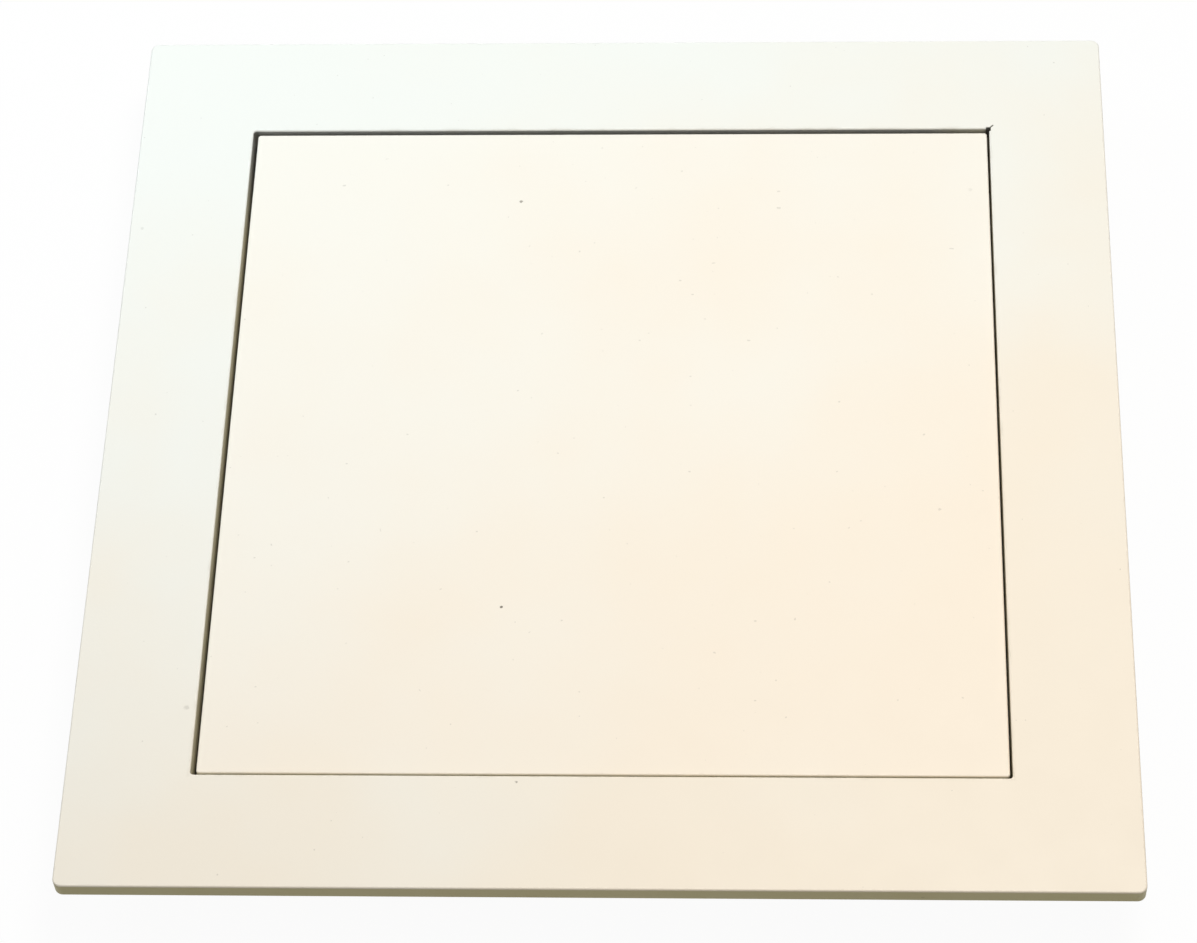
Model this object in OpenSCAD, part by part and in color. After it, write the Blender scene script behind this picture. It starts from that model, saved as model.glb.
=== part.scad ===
// Ceiling access panel of folded sheet steel: a square frame with a flush push-to-open door.
// It lies with its visible face up. The origin is at the centre of the collar's rear rim.
// The door hangs on the left side (-X) and latches on the right side (+X).

/* [Frame] */
// Overall width of the square frame
panel_w = 595; // [560:5:800]
// Clear width of the square opening between its folded lips
opening_w = 455; // [420:5:470]
// Depth from the visible face to the rear rim of the collar
frame_depth = 55; // [53:1:80]
// Thickness of the face frame's sheet
frame_t = 0.8; // [0.7:0.1:1.2]
// Inside radius of the face frame's bends
frame_bend_r = 0.2; // [0.2:0.1:0.6]
// Height of the folded outer lip
outer_lip_h = 10; // [6:0.5:16]
// Plan radius of the frame's outer corners
outer_corner_r = 5; // [4:0.5:10]
// Height of the folded lip round the opening
inner_lip_h = 16; // [15:0.5:20]
// Plan radius of the opening's three closed corners
opening_corner_r = 2; // [1.2:0.2:3]
// Distance that two lips stop short of the back right corner, which is split open
split_gap = 2; // [1:0.2:3]
// Width of the split that runs on into the border there
split_w = 0.9; // [0.6:0.1:1.5]
// Length of that split beyond the bends
split_len = 2.2; // [1:0.2:5]

/* [Collar] */
// Thickness of the collar rails' sheet
rail_t = 1.2; // [1:0.1:1.5]
// Inside radius of the collar rails' bends
rail_bend_r = 0.8; // [0.5:0.1:1]
// Width of the rails' outward flange behind the border
rail_flange_w = 20; // [12:1:40]
// Width of the rails' inward flange at the rear rim
rail_return_w = 12; // [8:1:20]
// Leg length of the corner cleats
cleat_leg = 32; // [26:1:40]
// Clearance between the corner cleats and the bushes above them
cleat_bush_gap = 3.3; // [1:0.1:6]
// Height of the cleats' lower edge above the rear rim
cleat_z = 11; // [8:1:12]
// Thickness of the corner cleats
cleat_t = 1.5; // [1:0.1:2]
// Distance of a cleat's rivets from its upper and lower edge
cleat_rivet_edge = 7; // [6:0.5:9]

/* [Fixing] */
// Radius of the fixing holes through the collar
fix_hole_r = 2.75; // [2:0.25:3.25]
// Height of the fixing holes above the rear rim
fix_hole_z = 10; // [8:0.5:12]
// Distance of the fixing holes from the corners of the opening
fix_hole_inset = 47.5; // [44:0.5:60]

/* [Door] */
// Gap beside the door on its hinge side
gap_hinge_side = 2.9; // [2.6:0.1:5]
// Gap beside the door on its latch side
gap_latch_side = 1.4; // [1:0.1:3]
// Gaps beside the door's front and back edges
gap_ends = 1.9; // [1:0.1:3]
// Depth of the door's face below the frame's face
door_recess = 2; // [0:0.1:3]
// Thickness of the door's sheet
door_t = 0.8; // [0.7:0.1:1.2]
// Inside radius of the door's bends
door_bend_r = 0.2; // [0.2:0.1:0.6]
// Height of the door's folded sides
door_h = 16; // [15:0.5:18]
// Plan radius of the door's corners
door_corner_r = 1.8; // [1.8:0.1:5]
// Width of the flanges returned inwards behind the door's sides
door_return_w = 10; // [6:0.5:11]
// Distance between the centrelines of the door's two stiffeners
stiffener_spacing = 118; // [80:2:240]
// Width of a stiffener's crown
stiffener_w = 26; // [16:1:40]
// Width of a stiffener's two feet
stiffener_foot = 12; // [8:1:16]
// Height of a stiffener
stiffener_h = 11; // [6:1:13]
// Thickness of the stiffeners and strikes
hat_t = 0.8; // [0.6:0.1:1.2]
// Inside radius of the stiffeners' and strikes' bends
hat_bend_r = 0.8; // [0.4:0.1:1.2]
// Clearance of a stiffener's ends from the door's returned flanges
stiffener_end_gap = 6; // [2:1:30]

/* [Door stop] */
// Thickness of the stop angles
stop_t = 1.2; // [1:0.1:1.5]
// Width of the stop angles' ledge
stop_ledge = 15; // [12:0.5:16]
// Height of the stop angles' leg
stop_leg = 15; // [12:0.5:16]
// Clearance between the stop angles' ends and the corners of the opening
stop_end_gap = 34; // [30:1:60]
// Clearance between the pivot axis and the stop angles beside it
stop_pivot_gap = 28; // [24:1:60]
// Width of the foam strips
seal_w = 10; // [6:0.5:11]
// Thickness of the foam strips
seal_t = 3; // [2:0.5:5]
// Clearance between the foam strips and the closed door
seal_gap = 0.3; // [0.2:0.1:0.6]

/* [Pivot] */
// Distance of the pivot axis from the door's hinge-side edge
pivot_inset = 14; // [12:0.5:16]
// Depth of the pivot axis behind the door's face
pivot_depth = 8; // [7.5:0.1:8.5]
// Radius of the pivot pins
pin_r = 3; // [2.5:0.1:3.2]
// Running clearance round the pivot pins
pin_clear = 0.05; // [0.02:0.01:0.09]
// Reach of a pivot pin past its bush
pin_reach = 1.6; // [1:0.1:3]
// Wall of the bushes
bush_wall = 1.1; // [0.8:0.1:1.4]
// Radius of the bushes' flange
bush_flange_r = 5.4; // [5:0.1:5.6]
// Thickness of the bushes' flange
bush_flange_t = 1.2; // [0.8:0.1:2]
// Thickness of the pivot brackets
pivot_bracket_t = 1.5; // [1:0.1:2]
// Width of the pivot brackets
pivot_bracket_w = 16; // [12:1:16]
// Distance between the outer faces of a pivot bracket's ears
pivot_bracket_l = 40; // [36:1:60]
// Distance of a pivot bracket from the door's end
pivot_bracket_inset = 8; // [6:0.5:12]
// Distance from a bracket's inner ear to the bent handle of its pin
handle_gap = 14; // [12:1:20]
// Bend radius of the handle's centreline
handle_bend_r = 5; // [4:0.5:6]
// Drop of the handle's end below the pivot axis
handle_drop = 20; // [14:1:24]
// Thickness of the retaining clips
clip_t = 1; // [0.8:0.1:1.2]
// Outer radius of the retaining clips
clip_r = 5; // [4.5:0.1:5]
// Depth of the groove that holds a retaining clip
clip_groove = 0.7; // [0.5:0.1:0.9]
// Width of the retaining clips' open mouth
clip_mouth = 3.8; // [3:0.1:4]

/* [Latch] */
// Distance between the two touch latches
latch_spacing = 240; // [160:5:260]
// Distance of the latches' axis from the collar's inner face
latch_inset = 28.5; // [27:0.5:32]
// Height of a latch housing
housing_h = 23; // [21:0.5:24]
// Length of a latch housing across the collar
housing_l = 22; // [21:0.5:24]
// Width of a latch housing along the collar
housing_w = 20; // [20:0.5:24]
// Radius of a latch housing's upright edges
housing_r = 4; // [2:0.5:6]
// Span between the two screws of a latch housing
housing_screw_span = 30; // [29:0.5:34]
// Thickness of a latch housing's screw ears
ear_t = 4; // [3:0.5:6]
// Radius of a latch housing's screw ears
ear_r = 5; // [4:0.5:6]
// Width of the step round a latch housing's top
housing_step = 1.2; // [0.6:0.1:1.5]
// Thickness of the ribs between a latch housing and its screw ears
rib_t = 1.2; // [0.8:0.1:1.5]
// Height of those ribs
rib_h = 9; // [5:0.5:12]
// Radius of the plungers
plunger_r = 6.5; // [6:0.1:7]
// Standing height of the plungers above their housings
plunger_up = 6; // [5:0.5:7]
// Travel of the plungers when the door is pressed
plunger_travel = 3.5; // [2:0.5:4]
// Height of the rest of the plunger's stroke, when it pushes the door out
plunger_eject = 8; // [6:0.5:9]
// Width of the collar that keeps a plunger in its housing
plunger_collar = 1; // [0.6:0.1:1.2]
// Height of that collar
plunger_collar_h = 2; // [1.5:0.5:3]
// Running clearance round the plungers
plunger_clear = 0.1; // [0.05:0.01:0.15]
// Chamfer of the plungers' tips
plunger_chamfer = 0.8; // [0.4:0.1:1]
// Wire radius of the cam followers
follower_r = 0.6; // [0.5:0.05:0.65]
// Height of a cam follower's upper leg above the plunger's shoulder in the housing
follower_up = 1.2; // [1.1:0.1:1.4]
// Distance between a cam follower's two legs
follower_l = 13; // [10:0.5:14]
// Bend radius of a cam follower's centreline
follower_bend_r = 1.2; // [1:0.1:1.6]
// Swing of a cam follower's upper leg to either side
follower_swing = 1.8; // [1.4:0.1:2]
// Depth of the cam track in a plunger
track_depth = 1.5; // [1.2:0.1:1.6]
// Half width of the heart in the middle of the cam track
heart_w = 2; // [1.8:0.1:2.1]
// Height of that heart below the follower
heart_h = 4.6; // [4:0.1:5]
// Slope of the notch in which the follower rests on the heart
heart_slope = 30; // [20:1:40]
// Radius of the magnets
magnet_r = 5; // [4:0.1:5.2]
// Thickness of the magnets
magnet_t = 3; // [2:0.5:4]
// Clearance between a magnet and its closed strike
strike_gap = 0.3; // [0.2:0.1:0.6]
// Width of the strikes along the collar
strike_w = 34; // [24:1:40]
// Length of a strike's crown across the collar
strike_l = 18; // [14:1:20]
// Length of a strike's two feet
strike_foot = 7; // [5:1:8]
// Thickness of the latch brackets
latch_bracket_t = 1.5; // [1:0.1:2]
// Width of the latch brackets
latch_bracket_w = 44; // [42:1:50]
// Height of a latch bracket's leg
latch_bracket_leg = 11; // [10:0.5:12]
// Distance between the two rivets of a latch bracket
latch_rivet_span = 26; // [20:1:30]
// Thickness of the caps below the housings
cap_t = 2; // [1.5:0.5:3]

/* [Springs] */
// Wire radius of the springs
wire_r = 0.45; // [0.3:0.05:0.6]
// Turns of a pin spring
pin_spring_turns = 8; // [5:1:10]
// Turns of a latch spring
latch_spring_turns = 7; // [5:1:9]

/* [Fasteners] */
// Shank radius of the blind rivets
rivet_r = 2; // [1.6:0.1:2.4]
// Head radius of the blind rivets
rivet_head_r = 4; // [3.5:0.1:4.5]
// Head height of the blind rivets
rivet_head_h = 1.2; // [0.8:0.1:1.3]
// Length of the blind rivets' formed tail
rivet_tail = 2.2; // [1.5:0.1:3]
// Radius of the blind rivets' formed tail
rivet_tail_r = 3; // [2.5:0.1:3.5]
// Step at the end of that tail
rivet_tail_step = 1; // [0.5:0.1:1.4]
// Distance between the rivets of a stop angle
stop_rivet_pitch = 150; // [100:5:160]
// Shank radius of the latch screws
screw_r = 1.5; // [1.25:0.05:2]
// Head radius of the latch screws
screw_head_r = 3; // [2.8:0.1:3.5]
// Head height of the latch screws
screw_head_h = 2; // [1.5:0.1:2.4]
// Radius of the flat on the latch screws' heads
screw_flat_r = 2; // [1.5:0.1:2.6]
// Length of the latch screws beyond the ears that they hold
screw_end = 2.2; // [1:0.1:4]
// Clearance round fasteners, bushes, magnets and caps in their holes
fit_clear = 0.05; // [0.02:0.01:0.1]

/* [Hidden] */
$fn = 48;
// Sides of the collar with the turn that brings the right side to each of them
SIDES = [["right", 0], ["back", 90], ["left", 180], ["front", 270]];
// Corners with the turn that brings the back right corner to each of them
CORNERS = [["back_right", 0], ["back_left", 90], ["front_left", 180], ["front_right", 270]];
// Sides that carry a stop angle
STOP_SIDES = [SIDES[0], SIDES[1], SIDES[3]];
// Ends of the door with their sign along Y
ENDS = [["front", -1], ["back", 1]];
// Overlap of cutting tools past the faces that they cut
cut = 0.5;
// Length that a folded lip's flat runs on into the border
border_lap = 0.5;

// Face frame
half_open = opening_w / 2;
half_panel = panel_w / 2;
frame_bend_out = frame_bend_r + frame_t;

// Collar rails
rail_in = half_open + frame_t;
rail_out = rail_in + rail_t;
rail_top = frame_depth - frame_t;
rail_bend_out = rail_bend_r + rail_t;

// Door
door_left = -half_open + gap_hinge_side;
door_right = half_open - gap_latch_side;
door_half_y = half_open - gap_ends;
door_top = frame_depth - door_recess;
door_back = door_top - door_t;
door_low = door_top - door_h;
door_bend_out = door_bend_r + door_t;

// Pivot axis
pivot_x = door_left + pivot_inset;
pivot_z = door_top - pivot_depth;
bush_r = pin_r + pin_clear + bush_wall;
cleat_h = pivot_z - bush_flange_r - cleat_bush_gap - cleat_z;
pin_end = rail_out + bush_flange_t + pin_reach;
ear_out = door_half_y - pivot_bracket_inset;
ear_in = ear_out - pivot_bracket_l;
clip_y = ear_out - pivot_bracket_t - fit_clear;
handle_y = ear_in - handle_gap;
pivot_bend_out = rail_bend_r + pivot_bracket_t;
pin_spring_r = pin_r + 2 * fit_clear + 1.5 * wire_r;

// Door stop
ledge_top = door_low - seal_gap - seal_t;
stop_bend_out = rail_bend_r + stop_t;
stop_rivet_z = ledge_top - stop_leg / 2;
stop_start = pivot_x + stop_pivot_gap;
stop_end = half_open - stop_end_gap;

// Touch latch
latch_x = rail_in - latch_inset;
tip_z = door_low - strike_gap;
housing_top = tip_z - plunger_up;
housing_low = housing_top - housing_h;
latch_bracket_bend_out = rail_bend_r + latch_bracket_t;
latch_rivet_z = housing_low - latch_bracket_t + latch_bracket_leg / 2 + rail_bend_r;
plunger_shoulder = housing_top - plunger_clear - plunger_up / 2;
plunger_low = plunger_shoulder - plunger_eject - plunger_collar_h;
spring_bore_r = pin_spring_r + wire_r + 2 * fit_clear;
spring_top = tip_z - magnet_t - cap_t;
cap_r = plunger_r + plunger_collar + 2 * plunger_clear;
follower_z = plunger_shoulder + follower_up;
follower_x = housing_l / 2 - follower_r - 2 * plunger_clear;
track_w = 2 * (follower_r + plunger_clear);
track_x = plunger_r - track_depth;

// Section of a right-angle bend, in the first quadrant about its centre
module quarter_bend(r, t) {
    intersection() {
        difference() {
            circle(r + t);
            circle(r);
        }
        square(r + t);
    }
}

// Square with round corners, made of true arcs
module round_square(w, l, r) {
    square([w - 2 * r, l], center = true);
    square([w, l - 2 * r], center = true);
    for (x = [-1, 1], y = [-1, 1])
        translate([x * (w / 2 - r), y * (l / 2 - r)])
            circle(r);
}

// Extrudes a section in X and Z along Y, centred
module along_y(l) {
    rotate([90, 0, 0])
        linear_extrude(l, center = true)
            children();
}

// Extrudes a section in Y and Z along X, centred
module along_x(l) {
    rotate([90, 0, 90])
        linear_extrude(l, center = true)
            children();
}

// Extrudes a section in Y and Z from the origin towards +X
module turned_to_x(l) {
    rotate([90, 0, 90])
        linear_extrude(l)
            children();
}

// Hole along X through sheet whose inner face lies at x
module hole_x(x, y, z, r, l) {
    translate([x - cut, y, z])
        rotate([0, 90, 0])
            cylinder(r = r, h = l + 2 * cut);
}

// Outer bend and outer lip, measured from the outer face
module outer_lip_section() {
    translate([-frame_bend_out, frame_depth - frame_bend_out])
        quarter_bend(frame_bend_r, frame_t);
    translate([-frame_bend_out - border_lap, rail_top])
        square([border_lap, frame_t]);
    translate([-frame_t, frame_depth - outer_lip_h])
        square([frame_t, outer_lip_h - frame_bend_out]);
}

// Inner bend and the lip that lines the opening, measured from the lip's face
module inner_lip_section() {
    translate([frame_bend_out, frame_depth - frame_bend_out])
        mirror([1, 0])
            quarter_bend(frame_bend_r, frame_t);
    translate([frame_bend_out, rail_top])
        square([border_lap, frame_t]);
    translate([0, frame_depth - inner_lip_h])
        square([frame_t, inner_lip_h - frame_bend_out]);
}

// Inner lip of one side, counted as in SIDES, with the closed corner after it
module inner_lip(i) {
    before = i == 1 ? split_gap : opening_corner_r;
    after = i == 0 ? split_gap : opening_corner_r;
    corner = half_open - opening_corner_r;
    translate([half_open, (before - after) / 2, 0])
        along_y(opening_w - before - after)
            inner_lip_section();
    if (i > 0)
        translate([corner, corner, 0])
            rotate_extrude(angle = 90)
                translate([opening_corner_r, 0])
                    inner_lip_section();
}

// Flat border with the split of its back right inner corner
module border_plan() {
    flat_w = panel_w - 2 * frame_bend_out;
    hole_w = opening_w + 2 * frame_bend_out;
    hole_r = opening_corner_r + frame_bend_out;
    difference() {
        round_square(flat_w, flat_w, outer_corner_r - frame_bend_out);
        round_square(hole_w, hole_w, hole_r);
        translate([hole_w / 2 - hole_r, hole_w / 2 - hole_r])
            square(hole_r);
        rotate(45)
            translate([hole_w / sqrt(2) - split_w, -split_w / 2])
                square([split_w + split_len, split_w]);
    }
}

module face_frame() {
    color("ivory")
        difference() {
            union() {
                translate([0, 0, rail_top])
                    linear_extrude(frame_t)
                        border_plan();
                for (i = [0:3])
                    rotate(SIDES[i][1]) {
                        along_y(panel_w - 2 * outer_corner_r)
                            translate([half_panel, 0])
                                outer_lip_section();
                        translate([half_panel - outer_corner_r, half_panel - outer_corner_r, 0])
                            rotate_extrude(angle = 90)
                                translate([outer_corner_r, 0])
                                    outer_lip_section();
                        inner_lip(i);
                    }
            }
            bush_holes();
        }
}

// Seats of the two pivot bushes, through the inner lip and the rail behind it
module bush_holes() {
    for (e = ENDS)
        translate([pivot_x, e[1] * half_open, pivot_z])
            rotate([-90 * e[1], 0, 0])
                translate([0, 0, -cut])
                    cylinder(r = bush_r + fit_clear, h = frame_t + rail_t + 2 * cut);
}

// Z-section of a collar rail: outward flange behind the border, web, inward flange at the rim
module rail_section() {
    translate([rail_in + rail_bend_out, rail_top - rail_t])
        square([rail_flange_w - rail_bend_out, rail_t]);
    translate([rail_in + rail_bend_out, rail_top - rail_bend_out])
        mirror([1, 0])
            quarter_bend(rail_bend_r, rail_t);
    translate([rail_in, rail_bend_out])
        square([rail_t, rail_top - 2 * rail_bend_out]);
    translate([rail_out - rail_bend_out, rail_bend_out])
        mirror([0, 1])
            quarter_bend(rail_bend_r, rail_t);
    translate([rail_in - rail_return_w, 0])
        square([rail_return_w + rail_t - rail_bend_out, rail_t]);
}

// Wedge of the plan that holds one side, with mitred ends
module mitre_wedge() {
    linear_extrude(frame_depth)
        polygon([[0, 0], [half_panel, -half_panel], [half_panel, half_panel]]);
}

// Places along one side, from its middle, and heights of its cleat rivets
function cleat_rivet_spots() = [
    for (y = [-1, 1], z = [cleat_z + cleat_rivet_edge, cleat_z + cleat_h - cleat_rivet_edge])
        [y * (rail_out - cleat_leg / 2), z]
];

// Places along one side and heights of its stop angle's rivets
function stop_rivet_spots(side) = side == "left" ? [] : [
    for (i = [-1, 0, 1]) [i * stop_rivet_pitch, stop_rivet_z]
];

// Places along one side and heights of its latch brackets' rivets
function bracket_rivet_spots(side) = side != "right" ? [] : [
    for (e = ENDS, i = [-1, 1]) [(e[1] * latch_spacing + i * latch_rivet_span) / 2, latch_rivet_z]
];

module collar_rail(side) {
    rivets = concat(cleat_rivet_spots(), stop_rivet_spots(side[0]), bracket_rivet_spots(side[0]));
    color("gainsboro")
        difference() {
            rotate(side[1])
                difference() {
                    intersection() {
                        along_y(2 * (rail_in + rail_flange_w))
                            rail_section();
                        mitre_wedge();
                    }
                    for (p = rivets)
                        hole_x(rail_in, p[0], p[1], rivet_r + fit_clear, rail_t);
                    for (y = [-1, 1])
                        hole_x(rail_in, y * (half_open - fix_hole_inset), fix_hole_z, fix_hole_r, rail_t);
                }
            bush_holes();
        }
}

module corner_cleat(corner) {
    color("silver")
        rotate(corner[1])
            difference() {
                translate([0, 0, cleat_z])
                    linear_extrude(cleat_h)
                        cleat_plan();
                for (p = cleat_rivet_spots())
                    if (p[0] > 0) {
                        hole_x(rail_out, p[0], p[1], rivet_r + fit_clear, cleat_t);
                        mirror([1, -1, 0])
                            hole_x(rail_out, p[0], p[1], rivet_r + fit_clear, cleat_t);
                    }
            }
}

// Angle that wraps the outer corner of two rails, with a round outer edge
module cleat_plan() {
    cleat_out = rail_out + cleat_t;
    leg_start = rail_out - cleat_leg;
    translate([rail_out, leg_start])
        square([cleat_t, cleat_leg]);
    translate([leg_start, rail_out])
        square([cleat_leg, cleat_t]);
    translate([rail_out, rail_out])
        intersection() {
            circle(cleat_t);
            square(cleat_out);
        }
}

// Blind rivet along X with its head's seat at the origin, through a grip of sheet
module rivet(grip) {
    cap_radius = (pow(rivet_head_r, 2) + pow(rivet_head_h, 2)) / (2 * rivet_head_h);
    rotate([0, 90, 0])
        rotate_extrude() {
            square([rivet_r, grip]);
            intersection() {
                translate([0, cap_radius - rivet_head_h])
                    circle(cap_radius, $fn = 96);
                translate([0, -rivet_head_h])
                    square([rivet_head_r, rivet_head_h]);
            }
            translate([0, grip])
                square([rivet_tail_r, rivet_tail - rivet_tail_step]);
            translate([0, grip])
                square([rivet_tail_r - rivet_tail_step, rivet_tail]);
        }
}

module cleat_rivets() {
    color("silver")
        for (s = SIDES, p = cleat_rivet_spots())
            rotate(s[1])
                translate([rail_in, p[0], p[1]])
                    rivet(rail_t + cleat_t);
}

module stop_rivets() {
    color("silver")
        for (s = STOP_SIDES, p = stop_rivet_spots(s[0]))
            rotate(s[1])
                translate([rail_in - stop_t, p[0], p[1]])
                    rivet(stop_t + rail_t);
}

module bracket_rivets() {
    color("silver")
        for (p = bracket_rivet_spots("right"))
            translate([rail_in - latch_bracket_t, p[0], p[1]])
                rivet(latch_bracket_t + rail_t);
}

// Start and end of a stop along its side: the ends beside the pivots stay clear of the swinging door
function stop_span(side) = side == "right" ? [-stop_end, stop_end]
    : side == "back" ? [-stop_end, -stop_start]
    : [stop_start, stop_end];

// Places a section of a stop along its side
module along_stop(side) {
    span = stop_span(side[0]);
    rotate(side[1])
        translate([0, (span[0] + span[1]) / 2, 0])
            along_y(span[1] - span[0])
                children();
}

module stop_angle(side) {
    color("silver")
        difference() {
            along_stop(side) {
                translate([rail_in - stop_ledge, ledge_top - stop_t])
                    square([stop_ledge - stop_bend_out, stop_t]);
                translate([rail_in - stop_bend_out, ledge_top - stop_bend_out])
                    quarter_bend(rail_bend_r, stop_t);
                translate([rail_in - stop_t, ledge_top - stop_leg])
                    square([stop_t, stop_leg - stop_bend_out]);
            }
            rotate(side[1])
                for (p = stop_rivet_spots(side[0]))
                    hole_x(rail_in - stop_t, p[0], p[1], rivet_r + fit_clear, stop_t);
        }
}

module seal_strip(side) {
    color("dimgray")
        along_stop(side)
            translate([rail_in - stop_ledge + stop_t, ledge_top])
                square([seal_w, seal_t]);
}

module pivot_bush(end) {
    color("white")
        translate([pivot_x, end[1] * half_open, pivot_z])
            rotate([-90 * end[1], 0, 0])
                rotate_extrude()
                    translate([pin_r + pin_clear, 0]) {
                        square([bush_wall, frame_t + rail_t]);
                        translate([0, frame_t + rail_t])
                            square([bush_flange_r - pin_r - pin_clear, bush_flange_t]);
                    }
}

module latch_bracket(end) {
    leg_low = housing_low - latch_bracket_t;
    inner_edge = latch_x - housing_l / 2 - latch_bracket_t;
    color("silver")
        translate([0, end[1] * latch_spacing / 2, 0])
            difference() {
                along_y(latch_bracket_w) {
                    translate([inner_edge, leg_low])
                        square([rail_in - latch_bracket_bend_out - inner_edge, latch_bracket_t]);
                    translate([rail_in - latch_bracket_bend_out, leg_low + latch_bracket_bend_out])
                        mirror([0, 1])
                            quarter_bend(rail_bend_r, latch_bracket_t);
                    translate([rail_in - latch_bracket_t, leg_low + latch_bracket_bend_out])
                        square([latch_bracket_t, latch_bracket_leg - latch_bracket_bend_out]);
                }
                for (i = [-1, 1]) {
                    hole_x(rail_in - latch_bracket_t, i * latch_rivet_span / 2, latch_rivet_z,
                        rivet_r + fit_clear, latch_bracket_t);
                    translate([latch_x, i * housing_screw_span / 2, leg_low - cut])
                        cylinder(r = screw_r + fit_clear, h = latch_bracket_t + 2 * cut);
                }
            }
}

// Body of a latch housing with its screw ears and their ribs, from its foot up
module housing_body() {
    linear_extrude(housing_h - housing_step)
        round_square(housing_l, housing_w, housing_r);
    linear_extrude(housing_h)
        round_square(housing_l - 2 * housing_step, housing_w - 2 * housing_step, housing_r - housing_step);
    linear_extrude(ear_t) {
        square([2 * ear_r, housing_screw_span], center = true);
        for (y = [-1, 1])
            translate([0, y * housing_screw_span / 2])
                circle(ear_r);
    }
    for (x = [0, 1], y = [0, 1])
        mirror([x, 0, 0])
            mirror([0, y, 0])
                translate([ear_r - rib_t / 2, 0, 0])
                    along_x(rib_t)
                        polygon([
                            [0, 0],
                            [housing_screw_span / 2, 0],
                            [housing_screw_span / 2, ear_t],
                            [housing_w / 2, ear_t + rib_h],
                            [0, ear_t + rib_h]
                        ]);
}

// Room for a cam follower in a housing's inner side, about the plunger's axis
module follower_room() {
    slot_low = follower_z - follower_l;
    slot_depth = housing_l / 2 - follower_x + follower_bend_r;
    narrow = follower_r + plunger_clear;
    wide = follower_r + follower_swing;
    translate([-housing_l / 2 - cut, 0, 0])
        turned_to_x(slot_depth + cut)
            polygon([
                [-narrow, slot_low - narrow],
                [narrow, slot_low - narrow],
                [wide, follower_z + narrow],
                [-wide, follower_z + narrow]
            ]);
    translate([-housing_l / 2, 0, follower_z])
        turned_to_x(housing_l / 2)
            square([2 * wide, 2 * narrow], center = true);
    translate([-housing_l / 2, 0, slot_low])
        rotate([0, 90, 0])
            cylinder(r = follower_r + fit_clear, h = housing_l / 2 - cap_r - follower_r);
}

module latch_housing(end) {
    color("whitesmoke")
        translate([latch_x, end[1] * latch_spacing / 2, 0])
            difference() {
                translate([0, 0, housing_low])
                    housing_body();
                translate([0, 0, housing_low - cut])
                    cylinder(r = cap_r, h = plunger_shoulder - housing_low + cut);
                translate([0, 0, housing_low])
                    cylinder(r = plunger_r + plunger_clear, h = housing_h + cut);
                for (i = [-1, 1])
                    translate([0, i * housing_screw_span / 2, housing_low - cut])
                        cylinder(r = screw_r + fit_clear, h = ear_t + 2 * cut);
                follower_room();
            }
}

// Wire staple whose upper leg rides in the plunger's cam track and whose lower leg turns in the housing
module latch_follower(end) {
    tip = follower_x - follower_bend_r - track_x - plunger_clear;
    root = follower_x - follower_bend_r - cap_r - follower_r - fit_clear;
    color("darkgray")
        translate([latch_x - follower_x, end[1] * latch_spacing / 2, follower_z - follower_l / 2])
            for (leg = [[0, tip], [1, root]])
                mirror([0, 0, leg[0]]) {
                    cylinder(r = follower_r, h = follower_l / 2 - follower_bend_r);
                    translate([follower_bend_r, 0, follower_l / 2 - follower_bend_r])
                        mirror([1, 0, 0])
                            rotate([90, 0, 0])
                                rotate_extrude(angle = 90)
                                    translate([follower_bend_r, 0])
                                        circle(follower_r);
                    translate([follower_bend_r, 0, follower_l / 2])
                        rotate([0, 90, 0])
                            cylinder(r = follower_r, h = leg[1]);
                }
}

module latch_cap(end) {
    color("whitesmoke")
        translate([latch_x, end[1] * latch_spacing / 2, housing_low]) {
            cylinder(r = cap_r - fit_clear, h = cap_t);
            cylinder(r = pin_r, h = 2 * cap_t);
        }
}

module latch_screws() {
    color("silver")
        for (e = ENDS, i = [-1, 1])
            translate([latch_x, (e[1] * latch_spacing + i * housing_screw_span) / 2, housing_low]) {
                translate([0, 0, -latch_bracket_t])
                    cylinder(r = screw_r, h = latch_bracket_t + ear_t + screw_end);
                translate([0, 0, -latch_bracket_t - screw_head_h])
                    cylinder(r1 = screw_flat_r, r2 = screw_head_r, h = screw_head_h / 2);
                translate([0, 0, -latch_bracket_t - screw_head_h / 2])
                    cylinder(r = screw_head_r, h = screw_head_h / 2);
            }
}

// Heart-shaped cam track about the follower's place at rest
module track_plan() {
    outer_w = heart_w + track_w;
    notch_low = -(follower_r + plunger_clear) / cos(heart_slope);
    notch_w = heart_w - follower_r;
    eject = -plunger_eject - track_w / 2;
    difference() {
        polygon([
            [-outer_w, plunger_travel + track_w / 2],
            [outer_w, plunger_travel + track_w / 2],
            [outer_w, notch_low],
            [track_w / 2, notch_low - heart_h - track_w / 2],
            [track_w / 2, eject],
            [-track_w / 2, eject],
            [-track_w / 2, notch_low - heart_h - track_w / 2],
            [-outer_w, notch_low]
        ]);
        polygon([
            [0, notch_low],
            [notch_w, notch_low + notch_w * tan(heart_slope)],
            [heart_w, notch_low],
            [0, -heart_h],
            [-heart_w, notch_low],
            [-notch_w, notch_low + notch_w * tan(heart_slope)]
        ]);
    }
}

module latch_plunger(end) {
    tip = tip_z - fit_clear;
    color("lightgray")
        translate([latch_x, end[1] * latch_spacing / 2, 0])
            difference() {
                union() {
                    translate([0, 0, plunger_low])
                        cylinder(r = plunger_r, h = tip - plunger_chamfer - plunger_low);
                    translate([0, 0, tip - plunger_chamfer])
                        cylinder(r1 = plunger_r, r2 = plunger_r - plunger_chamfer, h = plunger_chamfer);
                    translate([0, 0, plunger_low])
                        cylinder(r = plunger_r + plunger_collar, h = plunger_collar_h);
                }
                translate([0, 0, plunger_low - cut])
                    cylinder(r = spring_bore_r, h = spring_top - plunger_low + cut);
                translate([0, 0, tip_z - magnet_t])
                    cylinder(r = magnet_r + fit_clear, h = magnet_t + cut);
                translate([-plunger_r - cut, 0, follower_z])
                    turned_to_x(track_depth + cut)
                        track_plan();
            }
}

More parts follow.
